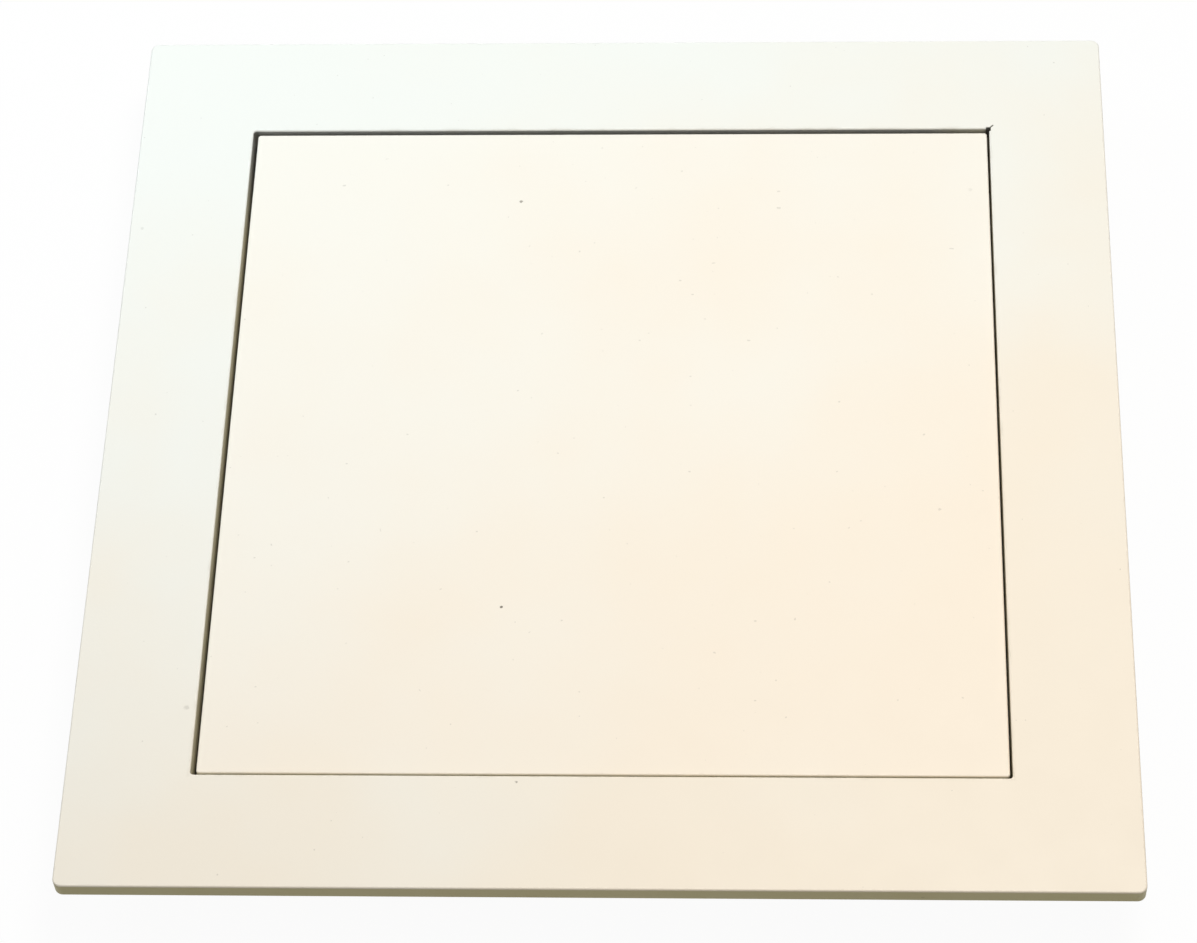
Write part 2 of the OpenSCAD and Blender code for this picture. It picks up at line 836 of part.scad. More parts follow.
module latch_magnet(end) {
    color("slategray")
        translate([latch_x, end[1] * latch_spacing / 2, tip_z - magnet_t])
            cylinder(r = magnet_r, h = magnet_t);
}

// Round wire wound along Z from one height to another, as rings of points joined into a tube
module spring(r, low, high, turns) {
    ring = 6;
    steps_per_turn = 14;
    steps = steps_per_turn * turns;
    rise = (high - low - 2 * wire_r) / steps;
    points = [
        for (i = [0:steps], j = [0:ring - 1])
            let (turn = 360 * turns * i / steps, side = 360 * j / ring, reach = r + wire_r * cos(side))
                [reach * cos(turn), reach * sin(turn), low + wire_r + rise * i + wire_r * sin(side)]
    ];
    walls = [
        for (i = [0:steps - 1], j = [0:ring - 1])
            let (a = i * ring + j, b = i * ring + (j + 1) % ring)
                [a, b, b + ring, a + ring]
    ];
    first = [for (j = [ring - 1:-1:0]) j];
    last = [for (j = [0:ring - 1]) steps * ring + j];
    polyhedron(points, concat([first], walls, [last]), convexity = 10);
}

module latch_spring(end) {
    color("darkgray")
        translate([latch_x, end[1] * latch_spacing / 2, 0])
            spring(pin_spring_r, housing_low + cap_t + fit_clear, spring_top - fit_clear, latch_spring_turns);
}

// Top bend and side of the door, measured from the outer face
module door_side_section() {
    translate([-door_bend_out, door_top - door_bend_out])
        quarter_bend(door_bend_r, door_t);
    translate([-door_t, door_low + door_bend_out])
        square([door_t, door_h - 2 * door_bend_out]);
}

// Bend and flange returned inwards behind a side of the door, measured from the outer face
module door_return_section() {
    translate([-door_bend_out, door_low + door_bend_out])
        mirror([0, 1])
            quarter_bend(door_bend_r, door_t);
    translate([-door_return_w, door_low])
        square([door_return_w - door_bend_out, door_t]);
}

module door_pan() {
    door_w = door_right - door_left;
    door_l = 2 * door_half_y;
    color("ivory")
        difference() {
            translate([(door_left + door_right) / 2, 0, 0])
                union() {
                    translate([0, 0, door_back])
                        linear_extrude(door_t)
                            round_square(door_w - 2 * door_bend_out, door_l - 2 * door_bend_out,
                                door_corner_r - door_bend_out);
                    for (k = [0:3])
                        rotate(90 * k)
                            door_edge(k % 2 == 0 ? door_w : door_l, k % 2 == 0 ? door_l : door_w);
                }
            for (e = ENDS)
                translate([pivot_x, e[1] * (door_half_y + cut), pivot_z])
                    rotate([90 * e[1], 0, 0])
                        cylinder(r = pin_r + pin_clear, h = door_t + 2 * cut);
        }
}

// One side of the door with the corner after it: w is across the door, l along the side
module door_edge(w, l) {
    run = l - 2 * door_corner_r;
    along_y(run)
        translate([w / 2, 0])
            door_side_section();
    translate([w / 2 - door_corner_r, l / 2 - door_corner_r, 0])
        rotate_extrude(angle = 90)
            translate([door_corner_r, 0])
                door_side_section();
    intersection() {
        along_y(run)
            translate([w / 2, 0])
                door_return_section();
        linear_extrude(frame_depth)
            translate([w / 2 - door_return_w, 0])
                polygon([
                    [0, door_return_w + cut - l / 2],
                    [door_return_w, cut - l / 2],
                    [door_return_w, l / 2 - cut],
                    [0, l / 2 - door_return_w - cut]
                ]);
    }
}

// Top-hat section hanging from the door's back: crown width, foot width and height
module hat_section(crown, foot, h) {
    bend_out = hat_bend_r + hat_t;
    low = door_back - h;
    for (side = [0, 1])
        mirror([side, 0]) {
            translate([crown / 2 + hat_bend_r, door_back - hat_t])
                square([foot - hat_bend_r, hat_t]);
            translate([crown / 2 + hat_bend_r, door_back - bend_out])
                mirror([1, 0])
                    quarter_bend(hat_bend_r, hat_t);
            translate([crown / 2 - hat_t, low + bend_out])
                square([hat_t, h - 2 * bend_out]);
            translate([crown / 2 - bend_out, low + bend_out])
                mirror([0, 1])
                    quarter_bend(hat_bend_r, hat_t);
        }
    translate([bend_out - crown / 2, low])
        square([crown - 2 * bend_out, hat_t]);
}

module stiffener(x) {
    color("silver")
        translate([x, 0, 0])
            along_y(2 * (door_half_y - door_return_w - stiffener_end_gap))
                hat_section(stiffener_w, stiffener_foot, stiffener_h);
}

module strike(end) {
    color("silver")
        translate([latch_x, end[1] * latch_spacing / 2, 0])
            along_y(strike_w)
                hat_section(strike_l, strike_foot, door_back - door_low);
}

// U-bracket with round-ended ears that carries a pivot pin behind the door's skin
module pivot_bracket(end) {
    middle = (ear_out + ear_in) / 2;
    color("silver")
        translate([pivot_x, end[1] * middle, 0])
            difference() {
                union() {
                    along_x(pivot_bracket_w)
                        pivot_base_section();
                    for (y = [-1, 1])
                        translate([0, y * (pivot_bracket_l - pivot_bracket_t) / 2, pivot_z])
                            along_y(pivot_bracket_t)
                                pivot_ear_plan();
                }
                translate([0, 0, pivot_z])
                    along_y(pivot_bracket_l + 2 * cut)
                        circle(pin_r + pin_clear);
            }
}

// Base of a pivot bracket with the bends that turn down into its ears
module pivot_base_section() {
    flat = pivot_bracket_l / 2 - pivot_bend_out;
    translate([-flat, door_back - pivot_bracket_t])
        square([2 * flat, pivot_bracket_t]);
    for (side = [0, 1])
        mirror([side, 0])
            translate([flat, door_back - pivot_bend_out])
                quarter_bend(rail_bend_r, pivot_bracket_t);
}

// Ear of a pivot bracket about its pin, up to the bend of the bracket's base
module pivot_ear_plan() {
    eye_r = pin_r + pivot_bracket_t;
    shoulder = door_back - pivot_bend_out - pivot_z;
    circle(eye_r);
    polygon([
        [-eye_r, 0],
        [eye_r, 0],
        [pivot_bracket_w / 2, shoulder],
        [-pivot_bracket_w / 2, shoulder]
    ]);
}

// Pivot pin along Y with its clip groove, bent down into a round-ended handle
module pivot_pin(end) {
    straight = pin_end - handle_y - handle_bend_r;
    color("lightsteelblue")
        translate([pivot_x, 0, pivot_z])
            mirror([0, end[1] < 0 ? 1 : 0, 0])
                difference() {
                    union() {
                        translate([0, pin_end - straight, 0])
                            rotate([-90, 0, 0])
                                pin_shaft(straight);
                        translate([0, handle_y + handle_bend_r, -handle_bend_r])
                            rotate([0, -90, 0])
                                rotate_extrude(angle = -90)
                                    translate([handle_bend_r, 0])
                                        circle(pin_r);
                        translate([0, handle_y, -handle_drop])
                            cylinder(r = pin_r, h = handle_drop - handle_bend_r);
                        translate([0, handle_y, -handle_drop])
                            sphere(pin_r);
                    }
                    translate([0, clip_y, 0])
                        rotate([90, 0, 0])
                            difference() {
                                cylinder(r = pin_r + cut, h = clip_t);
                                translate([0, 0, -cut])
                                    cylinder(r = pin_r - clip_groove, h = clip_t + 2 * cut);
                            }
                }
}

// Straight shaft of a pivot pin with a chamfered leading end
module pin_shaft(l) {
    lead = pin_r / 3;
    cylinder(r = pin_r, h = l - lead);
    translate([0, 0, l - lead])
        cylinder(r1 = pin_r, r2 = pin_r - lead, h = lead);
}

// Open retaining clip in the groove of a pivot pin
module pin_clip(end) {
    seat_r = pin_r - clip_groove + fit_clear;
    color("dimgray")
        translate([pivot_x, end[1] * (clip_y - clip_t / 2), pivot_z])
            along_y(clip_t - 2 * fit_clear)
                difference() {
                    circle(clip_r);
                    circle(seat_r);
                    translate([-clip_mouth / 2, -clip_r - cut])
                        square([clip_mouth, clip_r + cut]);
                }
}

module pin_spring(end) {
    color("darkgray")
        translate([pivot_x, 0, pivot_z])
            mirror([0, end[1] < 0 ? 1 : 0, 0])
                rotate([-90, 0, 0])
                    spring(pin_spring_r, ear_in + pivot_bracket_t + fit_clear,
                        clip_y - clip_t - fit_clear, pin_spring_turns);
}

face_frame();
for (s = SIDES) collar_rail(s);
for (c = CORNERS) corner_cleat(c);
cleat_rivets();
for (s = STOP_SIDES) stop_angle(s);
stop_rivets();
for (s = STOP_SIDES) seal_strip(s);
for (e = ENDS) pivot_bush(e);
for (e = ENDS) latch_bracket(e);
bracket_rivets();
for (e = ENDS) latch_housing(e);
for (e = ENDS) latch_cap(e);
for (e = ENDS) latch_spring(e);
for (e = ENDS) latch_follower(e);
latch_screws();
door_pan();
stiffener(-stiffener_spacing / 2);  // stiffener_left
stiffener(stiffener_spacing / 2);  // stiffener_right
for (e = ENDS) pivot_bracket(e);
for (e = ENDS) strike(e);
for (e = ENDS) pin_spring(e);
for (e = ENDS) pivot_pin(e);
for (e = ENDS) pin_clip(e);
for (e = ENDS) latch_plunger(e);
for (e = ENDS) latch_magnet(e);
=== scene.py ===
"""Dresses a square ceiling access panel and sets it in a white studio at the photograph's angle."""

import logging
import math
from abc import ABC, abstractmethod
from collections.abc import Callable, Iterable, Iterator
from contextlib import contextmanager
from dataclasses import dataclass
from enum import Enum

import bmesh
import bpy
from mathutils import Matrix, Vector


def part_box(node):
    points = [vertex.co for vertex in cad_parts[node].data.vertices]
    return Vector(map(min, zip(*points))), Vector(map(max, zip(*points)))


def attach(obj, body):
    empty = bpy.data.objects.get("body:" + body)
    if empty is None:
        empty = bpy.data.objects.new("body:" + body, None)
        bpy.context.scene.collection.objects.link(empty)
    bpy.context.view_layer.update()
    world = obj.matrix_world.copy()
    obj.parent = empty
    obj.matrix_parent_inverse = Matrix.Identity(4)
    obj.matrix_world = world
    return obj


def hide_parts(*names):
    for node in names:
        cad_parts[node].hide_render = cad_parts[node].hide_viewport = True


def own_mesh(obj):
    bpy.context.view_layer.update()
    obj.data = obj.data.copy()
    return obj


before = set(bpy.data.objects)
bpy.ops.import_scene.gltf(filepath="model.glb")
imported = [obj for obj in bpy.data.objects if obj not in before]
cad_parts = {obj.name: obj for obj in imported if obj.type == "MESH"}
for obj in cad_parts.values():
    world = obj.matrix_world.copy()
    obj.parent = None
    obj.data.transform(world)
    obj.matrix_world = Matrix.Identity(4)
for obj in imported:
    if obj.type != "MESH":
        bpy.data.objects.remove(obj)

LOG = logging.getLogger("access_panel")
MM = 0.001
SEEING_RAYS = ("Is Camera Ray", "Is Glossy Ray", "Is Transmission Ray")

# Part of a face's normal along an axis from which the face counts as looking that way
FACING = 0.9
# Distance under which two points of a mesh are one
SAME_POINT = 0.001 * MM

Rgba = tuple[float, float, float, float]
Colour = Rgba | bpy.types.NodeSocket
Point = tuple[float, float, float]
Band = tuple[float, float]
Operand = "Signal | float"


class Body(Enum):
    """Bodies of the panel that new pieces ride on."""

    FRAME = "frame"
    DOOR = "door"


class End(Enum):
    """Ends of the door, with their sign along Y."""

    FRONT = -1
    BACK = 1

    @property
    def word(self) -> str:
        """The end's name as the nodes spell it."""
        return self.name.lower()


class Side(Enum):
    """Sides of the frame that carry a door stop."""

    RIGHT = "right"
    BACK = "back"
    FRONT = "front"


class Axis(Enum):
    """Axes of the shared frame by their index."""

    X = 0
    Y = 1
    Z = 2


def srgb(red: int, green: int, blue: int) -> Rgba:
    """Turns a colour as a screen shows it into the linear one that a shader takes.

    Args:
        red: Red from 0 to 255.
        green: Green from 0 to 255.
        blue: Blue from 0 to 255.

    Returns:
        The linear colour with full opacity.
    """

    def linear(value: int) -> float:
        """Turns one channel."""
        share = value / 255
        return share / 12.92 if share <= 0.04045 else ((share + 0.055) / 1.055) ** 2.4

    return linear(red), linear(green), linear(blue), 1.0


class Signal:
    """A number that changes over a surface, which Python's operators turn into Math nodes."""

    def __init__(self, recipe: "Recipe", socket: bpy.types.NodeSocket) -> None:
        """Keeps the node socket that gives the number and the recipe that it belongs to."""
        self.recipe = recipe
        self.socket = socket

    def _math(self, operation: str, first: Operand, second: Operand = 0.0) -> "Signal":
        """Adds one Math node."""
        node = self.recipe.add("ShaderNodeMath", {"operation": operation}, {0: first, 1: second})
        return Signal(self.recipe, node.outputs[0])

    def __add__(self, other: Operand) -> "Signal":
        """Sum of two signals."""
        return self._math("ADD", self, other)

    def __radd__(self, other: float) -> "Signal":
        """Sum of a number and a signal."""
        return self._math("ADD", other, self)

    def __sub__(self, other: Operand) -> "Signal":
        """Difference of two signals."""
        return self._math("SUBTRACT", self, other)

    def __rsub__(self, other: float) -> "Signal":
        """Difference of a number and a signal."""
        return self._math("SUBTRACT", other, self)

    def __mul__(self, other: Operand) -> "Signal":
        """Product of two signals."""
        return self._math("MULTIPLY", self, other)

    def __rmul__(self, other: float) -> "Signal":
        """Product of a number and a signal."""
        return self._math("MULTIPLY", other, self)

    def __pow__(self, other: Operand) -> "Signal":
        """Power of a signal."""
        return self._math("POWER", self, other)

    def __abs__(self) -> "Signal":
        """Size of a signal without its sign."""
        return self._math("ABSOLUTE", self)

    def highest(self, other: Operand) -> "Signal":
        """The larger of two signals."""
        return self._math("MAXIMUM", self, other)

    def ramp(self, low: float, high: float) -> "Signal":
        """Rises smoothly from 0 at low to 1 at high, or falls where low is above high.

        Args:
            low: Value at which the result is 0.
            high: Value at which the result is 1.

        Returns:
            The eased signal.
        """
        limits = {"Value": self, "From Min": low, "From Max": high}
        node = self.recipe.add("ShaderNodeMapRange", {"interpolation_type": "SMOOTHSTEP"}, limits)
        return Signal(self.recipe, node.outputs["Result"])


class Recipe:
    """The node tree of one material or of the world, with short ways to add to it."""

    def __init__(self, owner: bpy.types.Material | bpy.types.World) -> None:
        """Starts an empty node tree.

        Args:
            owner: New material or world.
        """
        self.owner = owner
        owner.use_nodes = True
        self.tree = owner.node_tree
        self.tree.nodes.clear()

    def add(
        self, kind: str, settings: dict[str, object], values: dict[str | int, object]
    ) -> bpy.types.Node:
        """Adds any node.

        Args:
            kind: Type of the node.
            settings: Options of the node, which are set first.
            values: Numbers, colours, signals or sockets for the node's inputs, by name or index.

        Returns:
            The new node.
        """
        node = self.tree.nodes.new(kind)
        for option, choice in settings.items():
            setattr(node, option, choice)
        for key, value in values.items():
            source = value.socket if isinstance(value, Signal) else value
            if isinstance(source, bpy.types.NodeSocket):
                self.tree.links.new(source, node.inputs[key])
            else:
                node.inputs[key].default_value = source
        return node

    def place(self, stretch: Point = (1, 1, 1)) -> bpy.types.NodeSocket:
        """Object coordinates in metres.

        Args:
            stretch: Factors that draw a pattern out along the axes.

        Returns:
            The vector socket.
        """
        spot = self.add("ShaderNodeTexCoord", {}, {}).outputs["Object"]
        if stretch == (1, 1, 1):
            return spot
        node = self.add("ShaderNodeMapping", {}, {"Vector": spot, "Scale": stretch})
        return node.outputs["Vector"]

    def along(self, axis: Axis) -> Signal:
        """Position along one axis in metres."""
        node = self.add("ShaderNodeSeparateXYZ", {}, {"Vector": self.place()})
        return Signal(self, node.outputs[axis.value])

    def noise(self, size: float, detail: float = 2.0, stretch: Point = (1, 1, 1)) -> Signal:
        """Soft random pattern.

        Args:
            size: Width of its patches in metres.
            detail: Number of finer layers on it.
            stretch: Factors that draw it out along the axes.

        Returns:
            A signal about one half.
        """
        values = {"Vector": self.place(stretch), "Scale": 1 / size, "Detail": detail}
        return Signal(self, self.add("ShaderNodeTexNoise", {}, values).outputs["Fac"])

    def cells(self, size: float) -> Signal:
        """Random level for each of many small cells.

        Args:
            size: Width of the cells in metres.

        Returns:
            A signal from 0 to 1.
        """
        node = self.add("ShaderNodeTexVoronoi", {}, {"Vector": self.place(), "Scale": 1 / size})
        split = self.add("ShaderNodeSeparateColor", {}, {"Color": node.outputs["Color"]})
        return Signal(self, split.outputs[0])

    def pores(self, size: float) -> Signal:
        """Distance from the middle of each of many small cells, from 0 to about 1."""
        node = self.add("ShaderNodeTexVoronoi", {}, {"Vector": self.place(), "Scale": 1 / size})
        return Signal(self, node.outputs["Distance"])

    def blend(self, share: Operand, first: Colour, second: Colour) -> bpy.types.NodeSocket:
        """Mixes two colours.

        Args:
            share: How much of the second colour shows.
            first: Colour or socket at 0.
            second: Colour or socket at 1.

        Returns:
            The colour socket.
        """
        node = self.add("ShaderNodeMix", {"data_type": "RGBA"}, {0: share, 6: first, 7: second})
        return node.outputs[2]

    def relief(
        self, height: Signal, depth: float, under: bpy.types.NodeSocket | None = None
    ) -> bpy.types.NodeSocket:
        """Turns a height pattern into a surface normal.

        Args:
            height: Pattern from 0 to 1.
            depth: Height of the pattern in metres.
            under: Normal that this relief lies on, if any.

        Returns:
            The normal socket.
        """
        values = {"Height": height, "Distance": depth}
        if under is not None:
            values["Normal"] = under
        return self.add("ShaderNodeBump", {}, values).outputs["Normal"]

    def close(self, surface: bpy.types.NodeSocket) -> bpy.types.Material | bpy.types.World:
        """Joins the shader to the output.

        Args:
            surface: Shader of the whole surface.

        Returns:
            The finished material or world.
        """
        place = "World" if isinstance(self.owner, bpy.types.World) else "Material"
        self.add(f"ShaderNodeOutput{place}", {}, {"Surface": surface})
        return self.owner

    def principled(self, **values: object) -> bpy.types.Material:
        """Closes the recipe with a standard shader.

        Args:
            **values: Inputs of the shader, with underscores for spaces.

        Returns:
            The finished material.
        """
        inputs = {key.replace("_", " "): value for key, value in values.items()}
        return self.close(self.add("ShaderNodeBsdfPrincipled", {}, inputs).outputs["BSDF"])


@dataclass(frozen=True)
class Speck:
    """A dark fleck in the coating, in millimetres on the face, with a strength from 0 to 1."""

    x: float
    y: float
    size: float
    depth: float


class Finish(ABC):
    """A surface finish that can be made into a material."""

    @abstractmethod
    def make(self) -> bpy.types.Material:
        """Builds the finish.

        Returns:
            The material.
        """


@dataclass(frozen=True)
class PowderCoat(Finish):
    """Satin powder coat on folded sheet, with flecks and dirt along the gaps. Its colour shifts
    from cool at the back-left to warm at the front-right as painted light, over uneven yellowish
    patches of its own, and its folded sides, gaps and corners are darkened as painted shade.
    """

    name: str
    # fresh is the cool end and the next colour the warm end of a colour shift across the face:
    # painted light of the cool and warm lamps, over the coat's own yellowish patches
    fresh: Rgba
    warm_lit_and_yellowed: Rgba
    # Painted shade colours of the folded sides: outer lips, then inner lips in the gap
    shaded: Rgba
    gap_side_shade: Rgba
    # Grey painted shade in the gap towards the back
    back_gap_shade: Rgba
    fold_top: float
    fold_low: float
    dirt: Rgba = srgb(150, 138, 104)
    # fleck also colours the painted shade in the corners of the opening
    fleck: Rgba = srgb(92, 86, 70)
    rim_half: float = 227.5 * MM
    # Run and slant of the painted light shift from cool to warm
    light_drift_run: float = 420 * MM
    light_drift_slant: float = 0.55
    patch_size: float = 150 * MM
    patch_share: float = 0.7
    # Share of the painted shade below the fold line
    fold_shade_share: float = 0.85
    gap_reach: float = 12 * MM
    gap_full: float = 6 * MM
    # Where the back gap's painted shade starts along Y, and where and how much it fades towards the
    # right
    back_shade_start: float = 140 * MM
    shade_fade_start: float = 185 * MM
    shade_fade_end: float = 218 * MM
    shade_fade_share: float = 0.5
    # Painted shade in the corners of the opening
    corner_shade_reach: float = 4 * MM
    corner_shade_full: float = 1 * MM
    corner_shade_share: float = 0.8
    smear_size: float = 14 * MM
    smear_band: Band = (0.42, 0.75)
    smear_reach: float = 2.4 * MM
    smear_full: float = 0.5 * MM
    smear_share: float = 0.14
    ragged_size: float = 1.2 * MM
    ragged_depth: float = 1.4 * MM
    dust_size: float = 2.6 * MM
    dust_band: Band = (0.86, 0.90)
    dust_share: float = 0.2
    speck_core: float = 0.4
    roughness: float = 0.40
    roughness_spread: float = 0.14
    roughness_size: float = 24 * MM
    dent_size: float = 110 * MM
    dent_depth: float = 1.6 * MM
    peel_size: float = 1.7 * MM
    peel_depth: float = 0.035 * MM
    specular: float = 0.42
    specks: tuple[Speck, ...] = (
        Speck(-58.9, 173.1, 1.3, 0.65),
        Speck(-58.9, -117.2, 1.2, 0.9),
        Speck(-45.8, -231.5, 0.9, 0.6),
        Speck(-233.0, -185.0, 2.0, 0.22),
        Speck(-290.0, 151.7, 1.4, 0.14),
        Speck(214.8, 181.5, 1.6, 0.1),
    )

    def flecks(self, recipe: Recipe, x: Signal, y: Signal) -> Signal:
        """Marks the named specks and a thin scatter of pinpoint ones.

        Args:
            recipe: Material that is being made.
            x: Position along X.
            y: Position along Y.

        Returns:
            1 on a fleck and 0 elsewhere.
        """
        ragged = recipe.noise(self.ragged_size, detail=1.0) * self.ragged_depth
        ragged = ragged - self.ragged_depth / 2
        marks = recipe.noise(self.dust_size, detail=0.0).ramp(*self.dust_band) * self.dust_share
        for speck in self.specks:
            off_x = x - speck.x * MM
            off_y = y - speck.y * MM
            reach = (off_x * off_x + off_y * off_y) ** 0.5 + ragged
            spot = reach.ramp(speck.size * MM, self.speck_core * speck.size * MM)
            marks = marks.highest(spot * speck.depth)
        return marks

    def painted_fold_shade(
        self, recipe: Recipe, x: Signal, y: Signal, from_rim: Signal
    ) -> bpy.types.NodeSocket:
        """Colours the folded sides with painted shade: olive on the outer lips, paler on the inner
        ones, grey in the gap towards the back but less towards the right, and dark in the corners.

        Args:
            recipe: Material that is being made.
            x: Position along X.
            y: Position along Y.
            from_rim: Distance from the rim of the opening.

        Returns:
            The colour socket.
        """
        # Painted shade: the inner lips near the rim take the paler gap colour
        in_gap = from_rim.ramp(self.gap_reach, self.gap_full)
        fold_shade_colour = recipe.blend(in_gap, self.shaded, self.gap_side_shade)
        # Painted shade: the gap's sides turn grey towards the back, less so towards the right end
        shade_fade = 1.0 - x.ramp(self.shade_fade_start, self.shade_fade_end) * self.shade_fade_share
        back_shade = in_gap * shade_fade * y.ramp(self.back_shade_start, self.rim_half)
        fold_shade_colour = recipe.blend(back_shade, fold_shade_colour, self.back_gap_shade)
        # Painted shade: the sides darken to the fleck colour in the corners of the opening
        corner = (abs(x) + abs(y)).ramp(
            2 * self.rim_half - self.corner_shade_reach, 2 * self.rim_half - self.corner_shade_full
        )
        return recipe.blend(in_gap * corner * self.corner_shade_share, fold_shade_colour, self.fleck)

    def make(self) -> bpy.types.Material:
        """Builds the coat.

        Returns:
            The material.
        """
        recipe = Recipe(bpy.data.materials.new(self.name))
        x, y, z = (recipe.along(axis) for axis in Axis)
        # Painted light: the colour shifts from cool at the back-left to warm at the front-right, as
        # the cool and warm lamps would cast it; the noise patches on it are the coat's own uneven
        # ageing
        painted_light_drift = (x * self.light_drift_slant - y) * (0.5 / self.light_drift_run) + 0.5
        patches = recipe.noise(self.patch_size, detail=3.0) - 0.5
        light_drift_and_yellowing = (painted_light_drift + patches * self.patch_share).ramp(0.0, 1.0)
        colour = recipe.blend(light_drift_and_yellowing, self.fresh, self.warm_lit_and_yellowed)
        from_rim = abs(abs(x).highest(abs(y)) - self.rim_half)
        # Painted shade: everything below the fold line, lips and undersides alike, takes the darker
        # fold colours
        fold_shade_mask = z.ramp(self.fold_top, self.fold_low) * self.fold_shade_share
        colour = recipe.blend(fold_shade_mask, colour, self.painted_fold_shade(recipe, x, y, from_rim))
        smear = recipe.noise(self.smear_size, detail=3.0).ramp(*self.smear_band)
        by_rim = from_rim.ramp(self.smear_reach, self.smear_full)
        colour = recipe.blend(by_rim * smear * self.smear_share, colour, self.dirt)
        colour = recipe.blend(self.flecks(recipe, x, y), colour, self.fleck)
        sheen = recipe.noise(self.roughness_size, detail=4.0) * self.roughness_spread
        dents = recipe.relief(recipe.noise(self.dent_size, detail=1.0), self.dent_depth)
        peel = recipe.relief(recipe.noise(self.peel_size, detail=2.0), self.peel_depth, dents)
        return recipe.principled(
            Base_Color=colour,
            Roughness=self.roughness + sheen,
            Normal=peel,
            Specular_IOR_Level=self.specular,
        )


@dataclass(frozen=True)
class ThinCoat(Finish):
    """Overspray on galvanised sheet, thin at the rear rim and dirty at the mitred seams, with
    painted shade in wider dark patches round the seams near the top.
    """

    name: str = "thin_coat_on_zinc"
    coat: Rgba = srgb(200, 195, 178)
    zinc: Rgba = srgb(160, 163, 164)
    bright_zinc: Rgba = srgb(184, 187, 188)
    # dirt colours the seams and the painted shade round them near the top
    dirt: Rgba = srgb(36, 34, 30)
    dense_z: float = 46 * MM
    thin_z: float = 4 * MM
    thin_share: float = 0.7
    spangle_size: float = 9 * MM
    spangle_share: float = 0.12
    cover_size: float = 38 * MM
    cover_share: float = 0.26
    bare_band: Band = (0.3, 1.0)
    bare_share: float = 0.7
    bare_shine: float = 0.6
    scuff_size: float = 3 * MM
    scuff_stretch: Point = (1, 1, 6)
    scuff_band: Band = (0.62, 0.70)
    scuff_share: float = 0.5
    seam_reach: float = 1.6 * MM
    seam_core: float = 0.3
    seam_share: float = 0.85
    # Wider painted shade round the corner seams near the top
    pocket_reach: float = 9 * MM
    pocket_core: float = 0.5
    pocket_low: float = 43 * MM
    pocket_high: float = 46 * MM
    roughness: float = 0.52
    roughness_spread: float = 0.1
    peel_size: float = 1.9 * MM
    peel_depth: float = 0.03 * MM

    def make(self) -> bpy.types.Material:
        """Builds the coat.

        Returns:
            The material.
        """
        recipe = Recipe(bpy.data.materials.new(self.name))
        x, y, z = (recipe.along(axis) for axis in Axis)
        spangle = recipe.cells(self.spangle_size)
        cover = recipe.noise(self.cover_size, detail=5.0)
        thin = z.ramp(self.dense_z, self.thin_z)
        bare = thin * self.thin_share + cover * self.cover_share + spangle * self.spangle_share
        scuffs = recipe.noise(self.scuff_size, detail=3.0, stretch=self.scuff_stretch)
        scuffs = scuffs.ramp(*self.scuff_band) * self.scuff_share
        bare = bare.ramp(*self.bare_band).highest(scuffs)
        off_seam = abs(abs(x) - abs(y))
        # Painted shade: a wider dark patch round the corner seams near the top of the rails, added
        # to the seams' own dirt
        pocket_shade = off_seam.ramp(self.pocket_reach, self.pocket_core * self.pocket_reach)
        pocket_shade = pocket_shade * z.ramp(self.pocket_low, self.pocket_high)
        seam_dirt_and_shade = off_seam.ramp(self.seam_reach, self.seam_core * self.seam_reach).highest(pocket_shade)
        metal = recipe.blend(spangle, self.zinc, self.bright_zinc)
        sheet = recipe.blend(bare * self.bare_share, self.coat, metal)
        return recipe.principled(
            Base_Color=recipe.blend(seam_dirt_and_shade * self.seam_share, sheet, self.dirt),
            Metallic=bare * (self.bare_shine - seam_dirt_and_shade * self.bare_shine),
            Roughness=self.roughness - bare * self.roughness_spread + cover * self.roughness_spread,
            Normal=recipe.relief(recipe.noise(self.peel_size, detail=2.0), self.peel_depth),
        )


@dataclass(frozen=True)
class ZincSheet(Finish):
    """Bare galvanised sheet with a crystal spangle, rolling lines and a dull bloom."""

    name: str = "galvanised_sheet"
    dark: Rgba = srgb(158, 163, 167)
    light: Rgba = srgb(205, 208, 209)
    bloom: Rgba = srgb(216, 217, 214)
    coarse_size: float = 6 * MM
    coarse_share: float = 0.6
    fine_size: float = 2.4 * MM
    fine_share: float = 0.4
    bloom_size: float = 30 * MM
    bloom_band: Band = (0.52, 0.78)
    bloom_share: float = 0.55
    shine: float = 0.9
    bloom_shine: float = 0.35
    roughness: float = 0.30
    spangle_roughness: float = 0.14
    bloom_roughness: float = 0.16
    line_size: float = 1.1 * MM
    line_stretch: Point = (1, 0.04, 1)
    line_depth: float = 0.02 * MM

    def make(self) -> bpy.types.Material:
        """Builds the sheet.

        Returns:
            The material.
        """
        recipe = Recipe(bpy.data.materials.new(self.name))
        spangle = recipe.cells(self.coarse_size) * self.coarse_share
        spangle = spangle + recipe.cells(self.fine_size) * self.fine_share
        dull = recipe.noise(self.bloom_size, detail=5.0).ramp(*self.bloom_band)
        rolled = recipe.noise(self.line_size, detail=2.0, stretch=self.line_stretch)
        colour = recipe.blend(spangle, self.dark, self.light)
        sheen = self.roughness + spangle * self.spangle_roughness + dull * self.bloom_roughness
        return recipe.principled(
            Base_Color=recipe.blend(dull * self.bloom_share, colour, self.bloom),
            Metallic=self.shine - dull * self.bloom_shine,
            Roughness=sheen,
            Normal=recipe.relief(rolled, self.line_depth),
        )


